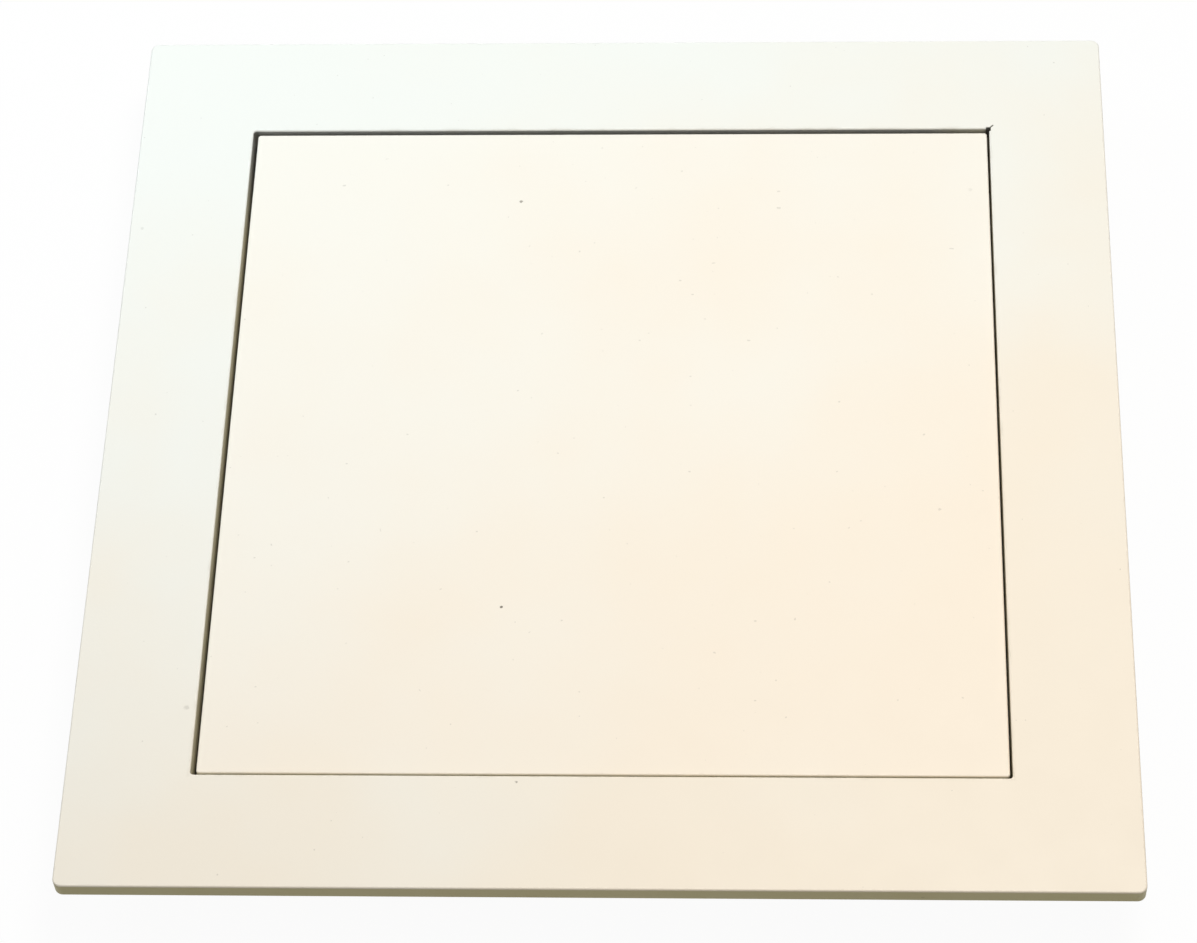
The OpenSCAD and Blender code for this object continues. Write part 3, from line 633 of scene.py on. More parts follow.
@dataclass(frozen=True)
class BrightMetal(Finish):
    """Plain or plated metal with tool lines and light tarnish."""

    name: str
    clean: Rgba
    tarnish: Rgba
    roughness: float
    line_stretch: Point = (1, 1, 1)
    line_size: float = 0.35 * MM
    line_depth: float = 0.012 * MM
    line_roughness: float = 0.08
    stain_size: float = 5 * MM
    stain_band: Band = (0.45, 0.80)
    stain_share: float = 0.7
    stain_shine: float = 0.25
    stain_roughness: float = 0.2

    def make(self) -> bpy.types.Material:
        """Builds the metal.

        Returns:
            The material.
        """
        recipe = Recipe(bpy.data.materials.new(self.name))
        stain = recipe.noise(self.stain_size, detail=4.0).ramp(*self.stain_band)
        lines = recipe.noise(self.line_size, detail=2.0, stretch=self.line_stretch)
        sheen = self.roughness + stain * self.stain_roughness + lines * self.line_roughness
        return recipe.principled(
            Base_Color=recipe.blend(stain * self.stain_share, self.clean, self.tarnish),
            Metallic=1.0 - stain * self.stain_shine,
            Roughness=sheen,
            Normal=recipe.relief(lines, self.line_depth),
        )


@dataclass(frozen=True)
class MouldedPlastic(Finish):
    """Moulded plastic with a spark-eroded grain and slight yellowing."""

    name: str
    fresh: Rgba
    aged: Rgba
    roughness: float
    age_size: float = 16 * MM
    age_band: Band = (0.35, 0.70)
    grain_size: float = 0.42 * MM
    grain_depth: float = 0.03 * MM
    grain_roughness: float = 0.12
    specular: float = 0.45

    def make(self) -> bpy.types.Material:
        """Builds the plastic.

        Returns:
            The material.
        """
        recipe = Recipe(bpy.data.materials.new(self.name))
        age = recipe.noise(self.age_size, detail=3.0).ramp(*self.age_band)
        grain = recipe.noise(self.grain_size, detail=2.0)
        return recipe.principled(
            Base_Color=recipe.blend(age, self.fresh, self.aged),
            Roughness=self.roughness + grain * self.grain_roughness,
            Normal=recipe.relief(grain, self.grain_depth),
            Specular_IOR_Level=self.specular,
        )


@dataclass(frozen=True)
class CellFoam(Finish):
    """Closed-cell foam: open pores on its cut faces, darkened in their middles as painted shade,
    and pale dust.
    """

    name: str = "cell_foam"
    body: Rgba = srgb(62, 62, 64)
    dust: Rgba = srgb(122, 118, 110)
    # Painted shade in the middles of the pores
    pore_shade: Rgba = srgb(30, 30, 32)
    pore_size: float = 0.9 * MM
    pore_band: Band = (0.1, 0.65)
    pore_share: float = 0.5
    pore_depth: float = 0.22 * MM
    dust_size: float = 7 * MM
    dust_band: Band = (0.48, 0.80)
    dust_share: float = 0.6
    roughness: float = 0.86
    dust_roughness: float = 0.1

    def make(self) -> bpy.types.Material:
        """Builds the foam.

        Returns:
            The material.
        """
        recipe = Recipe(bpy.data.materials.new(self.name))
        pores = recipe.pores(self.pore_size).ramp(*self.pore_band)
        dust = recipe.noise(self.dust_size, detail=5.0).ramp(*self.dust_band)
        colour = recipe.blend(dust * self.dust_share, self.body, self.dust)
        # Painted shade: the pores darken towards their middles
        depth = self.pore_share - pores * self.pore_share
        return recipe.principled(
            Base_Color=recipe.blend(depth, colour, self.pore_shade),
            Roughness=self.roughness + dust * self.dust_roughness,
            Normal=recipe.relief(pores, self.pore_depth),
        )


@dataclass(frozen=True)
class StudioFloor(Finish):
    """Pale sand ground that the camera sees as white, with a faint shadow round the panel."""

    name: str = "studio_floor"
    white: Rgba = (0.96, 0.96, 0.96, 1.0)
    sand: Rgba = (0.46, 0.43, 0.32, 1.0)
    glow: float = 0.95
    shade_in: float = 230 * MM
    shade_out: float = 245 * MM
    fade_in: float = 0.6
    fade_out: float = 1.8

    def make(self) -> bpy.types.Material:
        """Builds the ground.

        Returns:
            The material.
        """
        recipe = Recipe(bpy.data.materials.new(self.name))
        light_path = recipe.add("ShaderNodeLightPath", {}, {})
        seen, *others = (Signal(recipe, light_path.outputs[ray]) for ray in SEEING_RAYS)
        for ray in others:
            seen = seen.highest(ray)
        lit = recipe.add("ShaderNodeBsdfDiffuse", {}, {"Color": self.white}).outputs[0]
        glow = recipe.add("ShaderNodeEmission", {}, {"Strength": 1.0}).outputs[0]
        reach = abs(recipe.along(Axis.X)).highest(abs(recipe.along(Axis.Y)))
        outside = reach.ramp(self.shade_in, self.shade_out)
        share = outside * (self.glow + reach.ramp(self.fade_in, self.fade_out) * (1 - self.glow))
        shown = recipe.add("ShaderNodeMixShader", {}, {"Fac": share, 1: lit, 2: glow}).outputs[0]
        thrown = recipe.add("ShaderNodeBsdfDiffuse", {}, {"Color": self.sand}).outputs[0]
        choice = {"Fac": seen, 1: thrown, 2: shown}
        return recipe.close(recipe.add("ShaderNodeMixShader", {}, choice).outputs[0])


class Finishes:
    """Every finish of the panel, made once and shared by its pieces."""

    def __init__(self) -> None:
        """Makes the finishes."""
        self.face_coat = PowderCoat(
            "face_coat",
            # Cool and warm ends of the painted light shift across the frame's face
            fresh=srgb(243, 247, 243),
            warm_lit_and_yellowed=srgb(248, 236, 217),
            # Painted shade on the folded sides, partly the coat's own olive tone
            shaded=srgb(206, 198, 148),
            gap_side_shade=srgb(212, 205, 176),
            # Grey painted shade in the back gap
            back_gap_shade=srgb(144, 145, 143),
            fold_top=54.3 * MM,
            fold_low=53.6 * MM,
        ).make()
        self.door_coat = PowderCoat(
            "door_coat",
            # Cool and warm ends of the painted light shift across the door's face
            fresh=srgb(248, 247, 239),
            warm_lit_and_yellowed=srgb(251, 238, 219),
            # Milder painted shade on the door's folded sides and inner face
            shaded=srgb(228, 222, 204),
            gap_side_shade=srgb(228, 222, 204),
            # Painted shade towards the back of the door's sides
            back_gap_shade=srgb(214, 208, 190),
            fold_top=52.4 * MM,
            fold_low=51.7 * MM,
        ).make()
        self.thin_coat = ThinCoat().make()
        self.zinc = ZincSheet().make()
        self.foam = CellFoam().make()
        self.weld = BrightMetal(
            "weld_mark", srgb(128, 126, 124), srgb(84, 76, 66), roughness=0.46
        ).make()
        self.rivet = BrightMetal(
            "rivet_aluminium", srgb(205, 207, 208), srgb(176, 177, 176), roughness=0.36
        ).make()
        self.plated = BrightMetal(
            "zinc_plating",
            srgb(200, 200, 196),
            srgb(160, 156, 140),
            roughness=0.24,
            line_stretch=(1, 0.05, 1),
        ).make()
        self.wire = BrightMetal(
            "spring_wire", srgb(150, 150, 150), srgb(92, 88, 84), roughness=0.30
        ).make()
        self.nickel = BrightMetal(
            "nickel_plating", srgb(196, 192, 184), srgb(150, 145, 134), roughness=0.16
        ).make()
        self.nylon = MouldedPlastic(
            "natural_nylon", srgb(236, 232, 220), srgb(224, 215, 190), roughness=0.42
        ).make()
        self.housing = MouldedPlastic(
            "housing_plastic", srgb(228, 228, 224), srgb(218, 214, 202), roughness=0.46
        ).make()
        self.plunger = MouldedPlastic(
            "plunger_plastic", srgb(150, 153, 156), srgb(138, 138, 136), roughness=0.40
        ).make()


class Bench:
    """Short ways to model one new mesh at a time with Blender's own operators."""

    @staticmethod
    def clear() -> None:
        """Leaves nothing selected."""
        bpy.ops.object.select_all(action="DESELECT")

    @staticmethod
    def settle(name: str) -> bpy.types.Object:
        """Names the active object and moves its place into its mesh.

        Args:
            name: Name of the piece.

        Returns:
            The piece.
        """
        bpy.ops.object.transform_apply(location=True, rotation=True, scale=True)
        piece = bpy.context.object
        piece.name = name
        piece.data.name = name
        return piece

    @staticmethod
    def rod(name: str, sides: int, radius: float, low: float, high: float) -> bpy.types.Object:
        """Makes a round rod along Z.

        Args:
            name: Name of the piece.
            sides: Number of flats round it.
            radius: Radius of the rod.
            low: Height of its lower end.
            high: Height of its upper end.

        Returns:
            The rod.
        """
        Bench.clear()
        bpy.ops.mesh.primitive_cylinder_add(
            vertices=sides, radius=radius, depth=high - low, location=(0, 0, (low + high) / 2)
        )
        return Bench.settle(name)

    @staticmethod
    def hold(piece: bpy.types.Object) -> None:
        """Makes one piece the only selected and active one.

        Args:
            piece: Piece to work on.
        """
        Bench.clear()
        piece.select_set(True)
        bpy.context.view_layer.objects.active = piece

    @staticmethod
    @contextmanager
    def editing(piece: bpy.types.Object) -> Iterator[bmesh.types.BMesh]:
        """Opens a piece in edit mode with nothing selected, and closes it again.

        Args:
            piece: Piece to shape.

        Yields:
            The mesh as it is being edited.
        """
        Bench.hold(piece)
        bpy.ops.object.mode_set(mode="EDIT")
        bpy.ops.mesh.select_mode(type="FACE")
        bpy.ops.mesh.select_all(action="DESELECT")
        yield bmesh.from_edit_mesh(piece.data)
        bpy.ops.object.mode_set(mode="OBJECT")

    @staticmethod
    def pick(piece: bpy.types.Object, test: Callable[[bmesh.types.BMFace], bool]) -> None:
        """Selects the faces of the piece in edit mode that pass a test, and no others.

        Args:
            piece: Piece in edit mode.
            test: Says of a face whether it is selected.
        """
        mesh = bmesh.from_edit_mesh(piece.data)
        for face in mesh.faces:
            face.select_set(test(face))
        bmesh.update_edit_mesh(piece.data)

    @staticmethod
    def pick_edges(piece: bpy.types.Object, test: Callable[[bmesh.types.BMEdge], bool]) -> None:
        """Selects the edges of the piece in edit mode that pass a test, and no others.

        Args:
            piece: Piece in edit mode.
            test: Says of an edge whether it is selected.
        """
        bpy.ops.mesh.select_mode(type="EDGE")
        bpy.ops.mesh.select_all(action="DESELECT")
        mesh = bmesh.from_edit_mesh(piece.data)
        for edge in mesh.edges:
            edge.select_set(test(edge))
        bmesh.update_edit_mesh(piece.data)

    @staticmethod
    def modify(piece: bpy.types.Object, kind: str, **settings: object) -> None:
        """Adds a modifier and applies it.

        Args:
            piece: Piece to change.
            kind: Type of the modifier.
            **settings: Options of the modifier.
        """
        Bench.hold(piece)
        modifier = piece.modifiers.new(kind.lower(), kind)
        for option, choice in settings.items():
            setattr(modifier, option, choice)
        bpy.ops.object.modifier_apply(modifier=modifier.name)

    @staticmethod
    def smooth(piece: bpy.types.Object, degrees: float = 35.0) -> None:
        """Shades a piece smooth, with edges sharper than the angle left crisp."""
        Bench.hold(piece)
        bpy.ops.object.shade_smooth_by_angle(angle=math.radians(degrees))

    @staticmethod
    def tidy(piece: bpy.types.Object, gap: float = 0.01 * MM) -> None:
        """Merges doubled points and turns all faces outwards.

        Args:
            piece: Piece to mend.
            gap: Distance under which points are doubles.
        """
        with Bench.editing(piece):
            bpy.ops.mesh.select_all(action="SELECT")
            bpy.ops.mesh.remove_doubles(threshold=gap)
            bpy.ops.mesh.normals_make_consistent(inside=False)

    @staticmethod
    def cap(piece: bpy.types.Object) -> None:
        """Closes the open ends of a tube and turns all its faces outwards.

        Args:
            piece: Tube to close.
        """
        with Bench.editing(piece):
            bpy.ops.mesh.select_all(action="SELECT")
            bpy.ops.mesh.fill_holes(sides=0)
            bpy.ops.mesh.select_all(action="SELECT")
            bpy.ops.mesh.normals_make_consistent(inside=False)

    @staticmethod
    def copy(piece: bpy.types.Object, place: Matrix) -> bpy.types.Object:
        """Copies a piece with its own mesh.

        Args:
            piece: Piece to copy.
            place: Where the copy goes.

        Returns:
            The copy.
        """
        Bench.hold(piece)
        bpy.ops.object.duplicate(linked=False)
        twin = bpy.context.object
        twin.data.transform(place)
        return twin

    @staticmethod
    def join(pieces: list[bpy.types.Object], name: str) -> bpy.types.Object:
        """Joins pieces into one.

        Args:
            pieces: Pieces to join.
            name: Name of the result.

        Returns:
            The joined piece.
        """
        Bench.clear()
        for piece in pieces:
            piece.select_set(True)
        bpy.context.view_layer.objects.active = pieces[0]
        bpy.ops.object.join()
        return Bench.settle(name)

    @staticmethod
    def scatter(pattern: bpy.types.Object, places: list[Matrix], name: str) -> bpy.types.Object:
        """Sets copies of one modelled shape at every place and removes the shape itself.

        Args:
            pattern: Shape modelled about the origin.
            places: Where the copies go.
            name: Name of the joined piece.

        Returns:
            The joined copies.
        """
        copies = [Bench.copy(pattern, place) for place in places]
        bpy.data.objects.remove(pattern)
        return Bench.join(copies, name)


def dress(node: str, material: bpy.types.Material) -> None:
    """Gives a node of the model its finish.

    Args:
        node: Name of the node.
        material: Finish for all its faces.
    """
    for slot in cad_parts[node].material_slots:
        slot.material = material
    LOG.info("dressed %s with %s", node, material.name)


def adopt(
    piece: bpy.types.Object, body: Body, material: bpy.types.Material
) -> bpy.types.Object:
    """Gives a new piece its finish and the body that it rides on.

    Args:
        piece: New piece.
        body: Body that carries it.
        material: Finish for the piece.

    Returns:
        The piece.
    """
    piece.data.materials.clear()
    piece.data.materials.append(material)
    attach(piece, body.value)
    LOG.info("made %s on %s, %d faces", piece.name, body.value, len(piece.data.polygons))
    return piece


def solid_boxes(node: str) -> list[tuple[Vector, Vector]]:
    """Finds the separate solids of a node.

    Args:
        node: Name of a node that groups several solids.

    Returns:
        Lowest and highest corner of each solid.
    """
    mesh = bmesh.new()
    mesh.from_mesh(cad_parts[node].data)
    bmesh.ops.remove_doubles(mesh, verts=mesh.verts[:], dist=SAME_POINT)
    waiting = set(mesh.verts)
    boxes = []
    while waiting:
        group = [waiting.pop()]
        for vertex in group:
            near = {edge.other_vert(vertex) for edge in vertex.link_edges} & waiting
            waiting -= near
            group.extend(near)
        low = Vector(min(v.co[i] for v in group) for i in range(3))
        high = Vector(max(v.co[i] for v in group) for i in range(3))
        boxes.append((low, high))
    mesh.free()
    return sorted(boxes, key=lambda box: tuple(box[0]))


@dataclass
class FaceFrame:
    """The pressed face with its border and folded lips."""

    finishes: Finishes

    def dress(self) -> None:
        """Coats the face."""
        dress("face_frame", self.finishes.face_coat)


@dataclass
class Collar:
    """Rails behind the border, the cleats of their corners and the rivets that hold them."""

    finishes: Finishes
    stem_r: float = 1.15 * MM
    stem_h: float = 0.5 * MM
    stem_dimple: float = 0.35 * MM
    stem_rim: float = 0.3
    stem_sides: int = 20
    stem_edge: float = 0.1 * MM
    rivet_groups: tuple[str, ...] = ("cleat_rivets", "stop_rivets", "bracket_rivets")

    def model_stem(self) -> bpy.types.Object:
        """Models the broken stem in the middle of a rivet head, standing along +Z.

        Returns:
            The stem, about the origin.
        """
        half = self.stem_h / 2
        stem = Bench.rod("rivet_stem", self.stem_sides, self.stem_r, -half, half)
        with Bench.editing(stem):
            Bench.pick(stem, lambda face: face.normal.z > FACING)
            bpy.ops.mesh.inset(thickness=self.stem_rim * self.stem_r)
            sink = {"value": (0, 0, -self.stem_dimple)}
            bpy.ops.mesh.extrude_region_move(TRANSFORM_OT_translate=sink)
            bpy.ops.mesh.inset(thickness=self.stem_rim * self.stem_r)
        Bench.modify(stem, "BEVEL", width=self.stem_edge, segments=2, limit_method="ANGLE")
        Bench.smooth(stem)
        return stem

    def rivet_heads(self, group: str) -> list[Matrix]:
        """Finds the places of a group's rivet heads.

        Args:
            group: Node that holds the rivets.

        Returns:
            Turn and place of each head's crown, with +Z out of the head.
        """
        places = []
        for low, high in solid_boxes(group):
            middle = (low + high) / 2
            axis = Vector((math.copysign(1, middle.x), 0, 0))
            if abs(middle.y) > abs(middle.x):
                axis = Vector((0, math.copysign(1, middle.y), 0))
            length = abs((high - low).dot(axis))
            crown = middle - axis * length / 2
            turn = (-axis).to_track_quat("Z", "Y").to_matrix().to_4x4()
            places.append(Matrix.Translation(crown) @ turn)
        return places

    def build(self) -> None:
        """Sets the broken stems into the rivet heads."""
        for group in self.rivet_groups:
            stems = Bench.scatter(self.model_stem(), self.rivet_heads(group), f"{group}_stems")
            adopt(stems, Body.FRAME, self.finishes.wire)

    def dress(self) -> None:
        """Finishes rails, cleats and rivets."""
        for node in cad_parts:
            if node.startswith("collar_rail"):
                dress(node, self.finishes.thin_coat)
            elif node.startswith("corner_cleat"):
                dress(node, self.finishes.zinc)
            elif node in self.rivet_groups:
                dress(node, self.finishes.rivet)


@dataclass
class DoorStop:
    """Ledges that the door closes against, with their foam strips."""

    finishes: Finishes
    shrink: float = 0.25 * MM
    ripple: float = 0.5 * MM
    ripple_size: float = 9 * MM
    ripple_level: float = 0.75
    lift: float = 0.02 * MM
    step: float = 2.5 * MM
    cuts_across: int = 6

    def model_strip(self, side: Side) -> bpy.types.Object:
        """Models one foam strip with soft edges and a slightly uneven skin.

        Args:
            side: Side of the frame that carries the strip.

        Returns:
            The strip in its place.
        """
        low, high = (Vector(corner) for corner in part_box(f"seal_strip_{side.value}"))
        middle = (low + high) / 2
        size = high - low - Vector((self.shrink, self.shrink, self.shrink)) * 2
        longways = Axis.X if size.x > size.y else Axis.Y
        cuts = [self.cuts_across, self.cuts_across]
        cuts[longways.value] = round(size[longways.value] / self.step)
        Bench.clear()
        bpy.ops.mesh.primitive_grid_add(x_subdivisions=cuts[0], y_subdivisions=cuts[1], size=1)
        bpy.context.object.scale = (size.x, size.y, 1)
        bpy.context.object.location = (middle.x, middle.y, low.z + self.lift)
        strip = Bench.settle(f"foam_strip_{side.value}")
        Bench.modify(strip, "SOLIDIFY", thickness=size.z, offset=1.0)
        skin = bpy.data.textures.new(f"foam_skin_{side.value}", type="CLOUDS")
        skin.noise_scale = self.ripple_size
        Bench.modify(
            strip, "DISPLACE", texture=skin, strength=self.ripple, mid_level=self.ripple_level,
            direction="Z",
        )
        Bench.modify(strip, "SUBSURF", levels=1, render_levels=1)
        Bench.smooth(strip, degrees=60)
        return strip

    def build(self) -> None:
        """Makes the strips in place of the plain ones."""
        for side in Side:
            strip = adopt(self.model_strip(side), Body.FRAME, self.finishes.foam)
            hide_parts(f"seal_strip_{side.value}")

    def dress(self) -> None:
        """Finishes the ledges."""
        for side in Side:
            dress(f"stop_angle_{side.value}", self.finishes.zinc)


@dataclass
class Helix:
    """A small profile that is wound round Z into an open tube."""

    mean_r: float
    profile_r: float
    profile_sides: int
    steps: int
    tilt: float = 0.0

    def wind(self, name: str, start: float, turns: int, rise: float) -> bpy.types.Object:
        """Winds some turns.

        Args:
            name: Name of the piece.
            start: Height at which the winding starts.
            turns: Whole turns in it.
            rise: Climb of each turn.

        Returns:
            The open tube.
        """
        Bench.clear()
        bpy.ops.mesh.primitive_circle_add(
            vertices=self.profile_sides,
            radius=self.profile_r,
            location=(self.mean_r, 0, start),
            rotation=(math.pi / 2, self.tilt, 0),
        )
        tube = Bench.settle(name)
        Bench.modify(
            tube, "SCREW", axis="Z", screw_offset=rise, iterations=turns,
            steps=self.steps, render_steps=self.steps, use_merge_vertices=False,
        )
        return tube


@dataclass
class Coil:
    """A round-wire compression spring with closed ends, wound along +Z from the origin."""

    mean_r: float
    length: float
    turns: int
    wire_r: float = 0.45 * MM
    wire_sides: int = 10
    steps: int = 30
    closed_pitch: float = 2.1

    def model(self, name: str) -> bpy.types.Object:
        """Winds the spring with one closed turn at each end.

        Args:
            name: Name of the piece.

        Returns:
            The spring about the origin.
        """
        closed = self.closed_pitch * self.wire_r
        low = self.wire_r
        free = self.length - 2 * self.wire_r - 2 * closed
        open_turns = self.turns - 2
        wire = Helix(self.mean_r, self.wire_r, self.wire_sides, self.steps)
        parts = [
            wire.wind("coil_part", low, 1, closed),
            wire.wind("coil_part", low + closed, open_turns, free / open_turns),
            wire.wind("coil_part", low + closed + free, 1, closed),
        ]
        coil = Bench.join(parts, name)
        Bench.tidy(coil)
        Bench.cap(coil)
        Bench.smooth(coil, degrees=60)
        return coil


@dataclass
class Door:
    """The door tray with its stiffeners, strikes and the spot welds that hold them."""

    finishes: Finishes
    stiffeners: tuple[str, ...] = ("stiffener_left", "stiffener_right")
    strikes: tuple[str, ...] = ("strike_front", "strike_back")
    sheet: float = 0.8 * MM
    weld_r: float = 2.6 * MM
    weld_h: float = 0.16 * MM
    weld_sides: int = 20
    weld_ring: float = 0.3
    weld_pit: float = 0.25
    weld_rise: float = 0.4
    weld_drop: float = 0.9
    weld_sink: float = 0.3
    weld_pitch: float = 58 * MM
    weld_end: float = 14 * MM
    foot_middle: float = 6 * MM
    strike_foot_middle: float = 3.5 * MM
    strike_shares: tuple[float, ...] = (0.25, 0.75)

    def model_weld(self) -> bpy.types.Object:
        """Models the shallow ring that a spot weld leaves, facing -Z.

        Returns:
            The weld about the origin.
        """
        half = self.weld_h / 2
        weld = Bench.rod("spot_weld", self.weld_sides, self.weld_r, -half, half)
        with Bench.editing(weld):
            Bench.pick(weld, lambda face: face.normal.z < -FACING)
            bpy.ops.mesh.inset(thickness=self.weld_ring * self.weld_r)
            bpy.ops.transform.translate(value=(0, 0, -self.weld_rise * self.weld_h))
            bpy.ops.mesh.inset(thickness=self.weld_pit * self.weld_r)
            bpy.ops.transform.translate(value=(0, 0, self.weld_drop * self.weld_h))
        Bench.modify(weld, "SUBSURF", levels=1, render_levels=1)
        Bench.smooth(weld, degrees=80)
        return weld

    def stiffener_welds(self, node: str) -> list[Matrix]:
        """Spreads welds along both feet of a stiffener.

        Args:
            node: Stiffener that the welds hold.

        Returns:
            Places of the welds.
        """
        low, high = (Vector(corner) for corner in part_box(node))
        run = high.y - low.y - 2 * self.weld_end
        count = round(run / self.weld_pitch)
        z = high.z - self.sheet - self.weld_sink * self.weld_h
        return [
            Matrix.Translation((x, low.y + self.weld_end + run * i / count, z))
            for x in (low.x + self.foot_middle, high.x - self.foot_middle)
            for i in range(count + 1)
        ]

    def strike_welds(self, node: str) -> list[Matrix]:
        """Puts two welds on each foot of a strike.

        Args:
            node: Strike that the welds hold.

        Returns:
            Places of the welds.
        """
        low, high = (Vector(corner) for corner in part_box(node))
        z = high.z - self.sheet - self.weld_sink * self.weld_h
        return [
            Matrix.Translation((x, low.y * (1 - share) + high.y * share, z))
            for x in (low.x + self.strike_foot_middle, high.x - self.strike_foot_middle)
            for share in self.strike_shares
        ]

    def build(self) -> None:
        """Sets the spot welds."""
        places = {node: self.stiffener_welds(node) for node in self.stiffeners}
        places |= {node: self.strike_welds(node) for node in self.strikes}
        for node, spots in places.items():
            welds = Bench.scatter(self.model_weld(), spots, f"{node}_welds")
            adopt(welds, Body.DOOR, self.finishes.weld)

    def dress(self) -> None:
        """Finishes the tray and the sheet parts behind it."""
        dress("door_pan", self.finishes.door_coat)
        for node in (*self.stiffeners, *self.strikes):
            dress(node, self.finishes.zinc)


@dataclass
class Pivots:
    """Spring pins that the door turns on, with their brackets, bushes, clips and springs."""

    finishes: Finishes
    turns: int = 8
    travel: float = 9 * MM

    def build(self) -> None:
        """Winds the pin springs in place of the plain ones."""
        for end in End:
            node = f"pin_spring_{end.word}"
            low, high = (Vector(corner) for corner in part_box(node))
            middle = (low + high) / 2
            length = high.y - low.y
            inner = low.y if end is End.BACK else high.y
            mean_r = (high.x - low.x) / 2 - Coil.wire_r
            coil = Coil(mean_r, length, self.turns).model(f"pin_coil_{end.word}")
            turn = Matrix.Rotation(-math.pi / 2 * end.value, 4, "X")
            coil.data.transform(Matrix.Translation((middle.x, inner, middle.z)) @ turn)
            adopt(coil, Body.DOOR, self.finishes.wire)
            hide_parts(node)
            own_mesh(coil)

    def dress(self) -> None:
        """Finishes pins, clips, brackets and bushes."""
        for end in End:
            dress(f"pivot_pin_{end.word}", self.finishes.plated)
            dress(f"pin_clip_{end.word}", self.finishes.wire)
            dress(f"pivot_bracket_{end.word}", self.finishes.zinc)
            dress(f"pivot_bush_{end.word}", self.finishes.nylon)


@dataclass
class TouchLatches:
    """The two push latches: brackets, housings, plungers, magnets, springs and screws."""

    finishes: Finishes
    turns: int = 7
    travel: float = 3.5 * MM
    head_r: float = 3.0 * MM
    head_h: float = 2.0 * MM
    head_sides: int = 32
    crown: float = 0.9
    dome: float = 0.55
    shank_r: float = 1.5 * MM
    shank_sides: int = 24
    tip_r: float = 0.3 * MM
    thread_pitch: float = 1.1 * MM
    thread_h: float = 0.3 * MM
    thread_swell: float = 1.2
    thread_sink: float = 0.3
    cross_w: float = 0.75 * MM
    cross_l: float = 3.4 * MM
    cross_depth: float = 1.1 * MM
    cross_taper: float = 0.6

    def model_screw(self, length: float) -> bpy.types.Object:
        """Models a domed cross-head screw with its head below the origin and its shank to +Z.

        Args:
            length: Length of the shank.

        Returns:
            The screw.
        """
        head = Bench.rod("screw_head", self.head_sides, self.head_r, -self.head_h, 0)
        with Bench.editing(head):
            crown_z = -self.crown * self.head_h
            Bench.pick_edges(head, lambda edge: all(v.co.z < crown_z for v in edge.verts))
            bpy.ops.mesh.bevel(offset=self.dome * self.head_h, segments=5, profile=0.5)
        for turn in (0.0, math.pi / 2):
            Bench.clear()
            bpy.ops.mesh.primitive_cube_add(
                size=1, location=(0, 0, -self.head_h), rotation=(0, 0, turn)
            )
            bpy.context.object.scale = (self.cross_l, self.cross_w, 2 * self.cross_depth)
            cutter = Bench.settle("cross_cutter")
            with Bench.editing(cutter):
                Bench.pick(cutter, lambda face: face.normal.z > FACING)
                bpy.ops.transform.resize(value=(self.cross_taper, self.cross_taper, 1))
            Bench.modify(head, "BOOLEAN", operation="DIFFERENCE", object=cutter, solver="EXACT")
            bpy.data.objects.remove(cutter)
        Bench.smooth(head, degrees=40)
        return Bench.join([head, self.model_shank(length)], "screw_pattern")

    def model_shank(self, length: float) -> bpy.types.Object:
        """Models a threaded shank with a blunt tip from the origin to +Z.

        Args:
            length: Length of the shank.

        Returns:
            The shank.
        """
        core_r = self.shank_r - self.thread_h
        core = Bench.rod("screw_core", self.shank_sides, core_r, 0, length)
        Bench.modify(core, "BEVEL", width=self.tip_r, segments=2, limit_method="ANGLE")
        turns = int((length - self.thread_pitch) / self.thread_pitch)
        ridge = Helix(
            core_r + self.thread_sink * self.thread_h,
            self.thread_h * self.thread_swell,
            profile_sides=3,
            steps=self.shank_sides,
            tilt=math.pi / 2,
        )
        thread = ridge.wind("screw_thread", self.thread_pitch / 2, turns, self.thread_pitch)
        Bench.cap(thread)
        Bench.smooth(thread, degrees=50)
        Bench.smooth(core, degrees=50)
        return Bench.join([core, thread], "screw_shank")

    def build_screws(self) -> None:
        """Sets the modelled screws in place of the plain ones."""
        boxes = solid_boxes("latch_screws")
        low, high = boxes[0]
        places = [
            Matrix.Translation(((a.x + b.x) / 2, (a.y + b.y) / 2, a.z + self.head_h))
            for a, b in boxes
        ]
        pattern = self.model_screw(high.z - low.z - self.head_h)
        screws = Bench.scatter(pattern, places, "housing_screws")
        adopt(screws, Body.FRAME, self.finishes.plated)
        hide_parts("latch_screws")

    def build_springs(self) -> None:
        """Winds the plunger springs in place of the plain ones."""
        for end in End:
            node = f"latch_spring_{end.word}"
            low, high = (Vector(corner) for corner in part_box(node))
            middle = (low + high) / 2
            length = high.z - low.z
            mean_r = (high.x - low.x) / 2 - Coil.wire_r
            coil = Coil(mean_r, length, self.turns).model(f"latch_coil_{end.word}")
            coil.data.transform(Matrix.Translation((middle.x, middle.y, low.z)))
            adopt(coil, Body.FRAME, self.finishes.wire)
            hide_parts(node)
            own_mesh(coil)

    def build(self) -> None:
        """Makes the screws and springs."""
        self.build_screws()
        self.build_springs()

    def dress(self) -> None:
        """Finishes the latches' nodes."""
        for end in End:
            dress(f"latch_bracket_{end.word}", self.finishes.zinc)
            dress(f"latch_housing_{end.word}", self.finishes.housing)
            dress(f"latch_cap_{end.word}", self.finishes.housing)
            dress(f"latch_plunger_{end.word}", self.finishes.plunger)
            dress(f"latch_magnet_{end.word}", self.finishes.nickel)
            dress(f"latch_follower_{end.word}", self.finishes.wire)


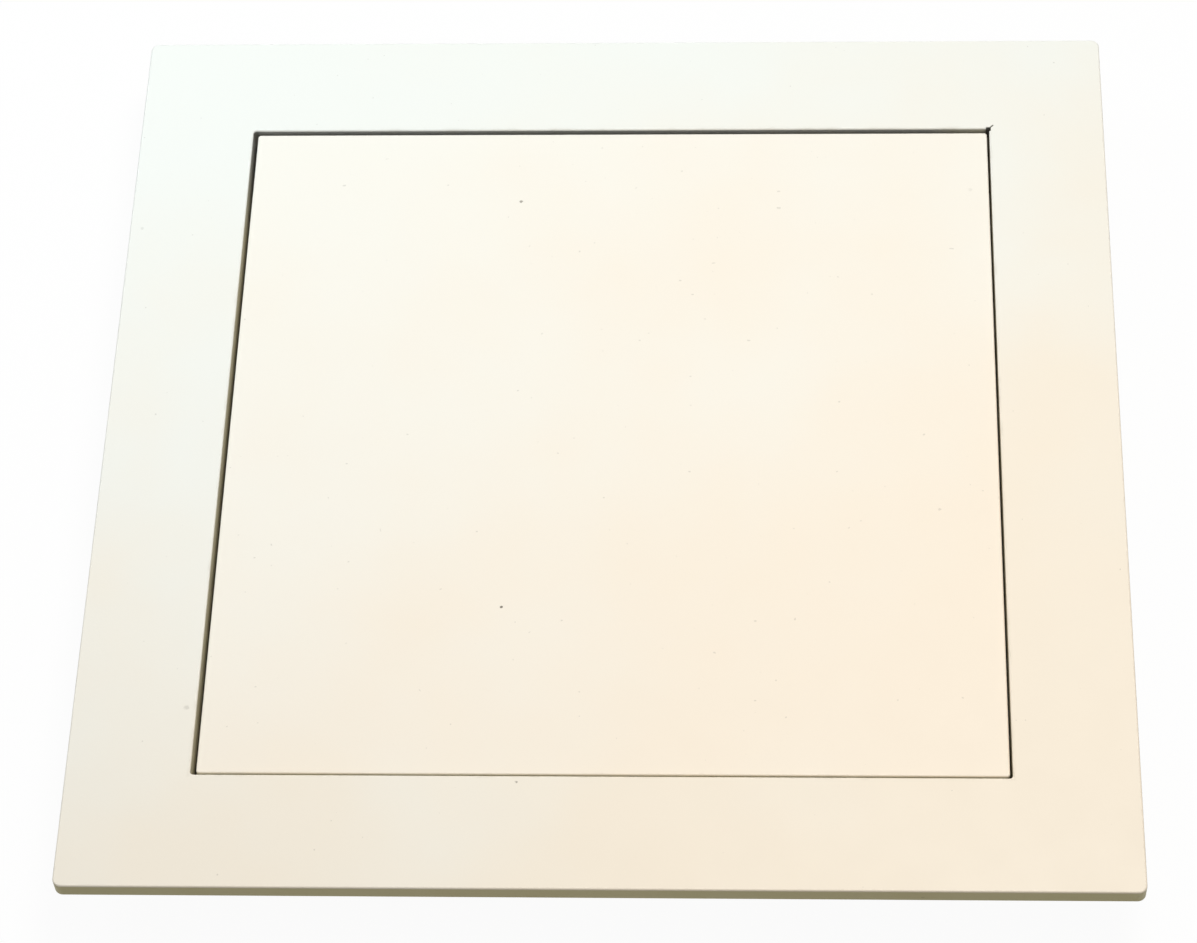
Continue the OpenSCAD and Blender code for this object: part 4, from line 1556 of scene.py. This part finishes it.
@dataclass(frozen=True)
class SoftBox:
    """A square studio lamp that points at the panel."""

    name: str
    place: Point
    size: float
    power: float
    colour: tuple[float, float, float]

    def build(self) -> None:
        """Hangs the lamp."""
        lamp = bpy.data.lights.new(self.name, "AREA")
        lamp.shape = "SQUARE"
        lamp.size = self.size
        lamp.energy = self.power
        lamp.color = self.colour
        stand = bpy.data.objects.new(self.name, lamp)
        bpy.context.collection.objects.link(stand)
        aim = -Vector(self.place)
        turn = aim.to_track_quat("-Z", "Y").to_matrix().to_4x4()
        stand.matrix_world = Matrix.Translation(self.place) @ turn
        LOG.info("hung %s", self.name)


@dataclass
class Studio:
    """White ground, soft lamps, dim surroundings and the camera at the photograph's angle."""

    floor_half: float = 6.0
    floor_drop: float = 0.2 * MM
    surround: float = 0.25
    surround_colour: Rgba = (1.0, 1.0, 1.0, 1.0)
    lamps: tuple[SoftBox, ...] = (
        SoftBox("top_light", (0.4, 0.25, 2.0), size=0.8, power=27.0, colour=(1.0, 0.97, 0.92)),
        SoftBox("cool_side", (-0.8, 0.7, 0.9), size=0.5, power=4.2, colour=(0.80, 0.91, 1.0)),
    )
    camera_place: Point = (0.102, -1.2402, 1.8897)
    camera_yaw: float = -5.085
    camera_pitch: float = 56.399
    camera_roll: float = -4.188
    camera_lens: float = 113.97
    camera_sensor: float = 36.0

    def build_floor(self) -> None:
        """Lays the ground that the rear rim rests on."""
        Bench.clear()
        bpy.ops.mesh.primitive_plane_add(
            size=2 * self.floor_half, location=(0, 0, -self.floor_drop)
        )
        ground = Bench.settle("studio_ground")
        ground.data.materials.append(StudioFloor().make())

    def build_world(self) -> None:
        """Sets dim, even surroundings, which the camera, gloss and glass see as white."""
        recipe = Recipe(bpy.data.worlds.new("studio_surround"))
        light_path = recipe.add("ShaderNodeLightPath", {}, {})
        shown, white = (
            recipe.add(
                "ShaderNodeBackground", {}, {"Color": self.surround_colour, "Strength": strength}
            ).outputs[0]
            for strength in (self.surround, 1.0)
        )
        for ray in SEEING_RAYS:
            choice = {"Fac": light_path.outputs[ray], 1: shown, 2: white}
            shown = recipe.add("ShaderNodeMixShader", {}, choice).outputs[0]
        bpy.context.scene.world = recipe.close(shown)

    def build_camera(self) -> None:
        """Sets the camera where the photograph was taken from."""
        angles = (self.camera_yaw, self.camera_pitch, self.camera_roll)
        yaw, pitch, roll = (math.radians(angle) for angle in angles)
        flat = math.cos(pitch)
        ahead = Vector((math.sin(yaw) * flat, math.cos(yaw) * flat, -math.sin(pitch)))
        level = Vector((math.cos(yaw), -math.sin(yaw), 0))
        upward = level.cross(ahead)
        right = level * math.cos(roll) + upward * math.sin(roll)
        up = upward * math.cos(roll) - level * math.sin(roll)
        turn = Matrix((right, up, -ahead)).transposed().to_4x4()
        lens = bpy.data.cameras.new("photo_camera")
        lens.sensor_fit = "HORIZONTAL"
        lens.sensor_width = self.camera_sensor
        lens.lens = self.camera_lens
        eye = bpy.data.objects.new("photo_camera", lens)
        bpy.context.collection.objects.link(eye)
        eye.matrix_world = Matrix.Translation(self.camera_place) @ turn
        bpy.context.scene.camera = eye

    def build(self) -> None:
        """Sets up the whole studio."""
        bpy.context.scene.view_settings.view_transform = "Standard"
        self.build_floor()
        self.build_world()
        for lamp in self.lamps:
            lamp.build()
        self.build_camera()
        LOG.info("studio is ready")


def main() -> None:
    """Builds and dresses the panel, part by part, and sets up the studio."""
    logging.basicConfig(level=logging.INFO, format="%(name)s: %(message)s")
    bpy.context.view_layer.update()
    Studio().build()
    finishes = Finishes()
    FaceFrame(finishes).dress()
    for part in (Collar, DoorStop, Door, Pivots, TouchLatches):
        assembly = part(finishes)
        assembly.build()
        assembly.dress()


if __name__ == "__main__":
    main()
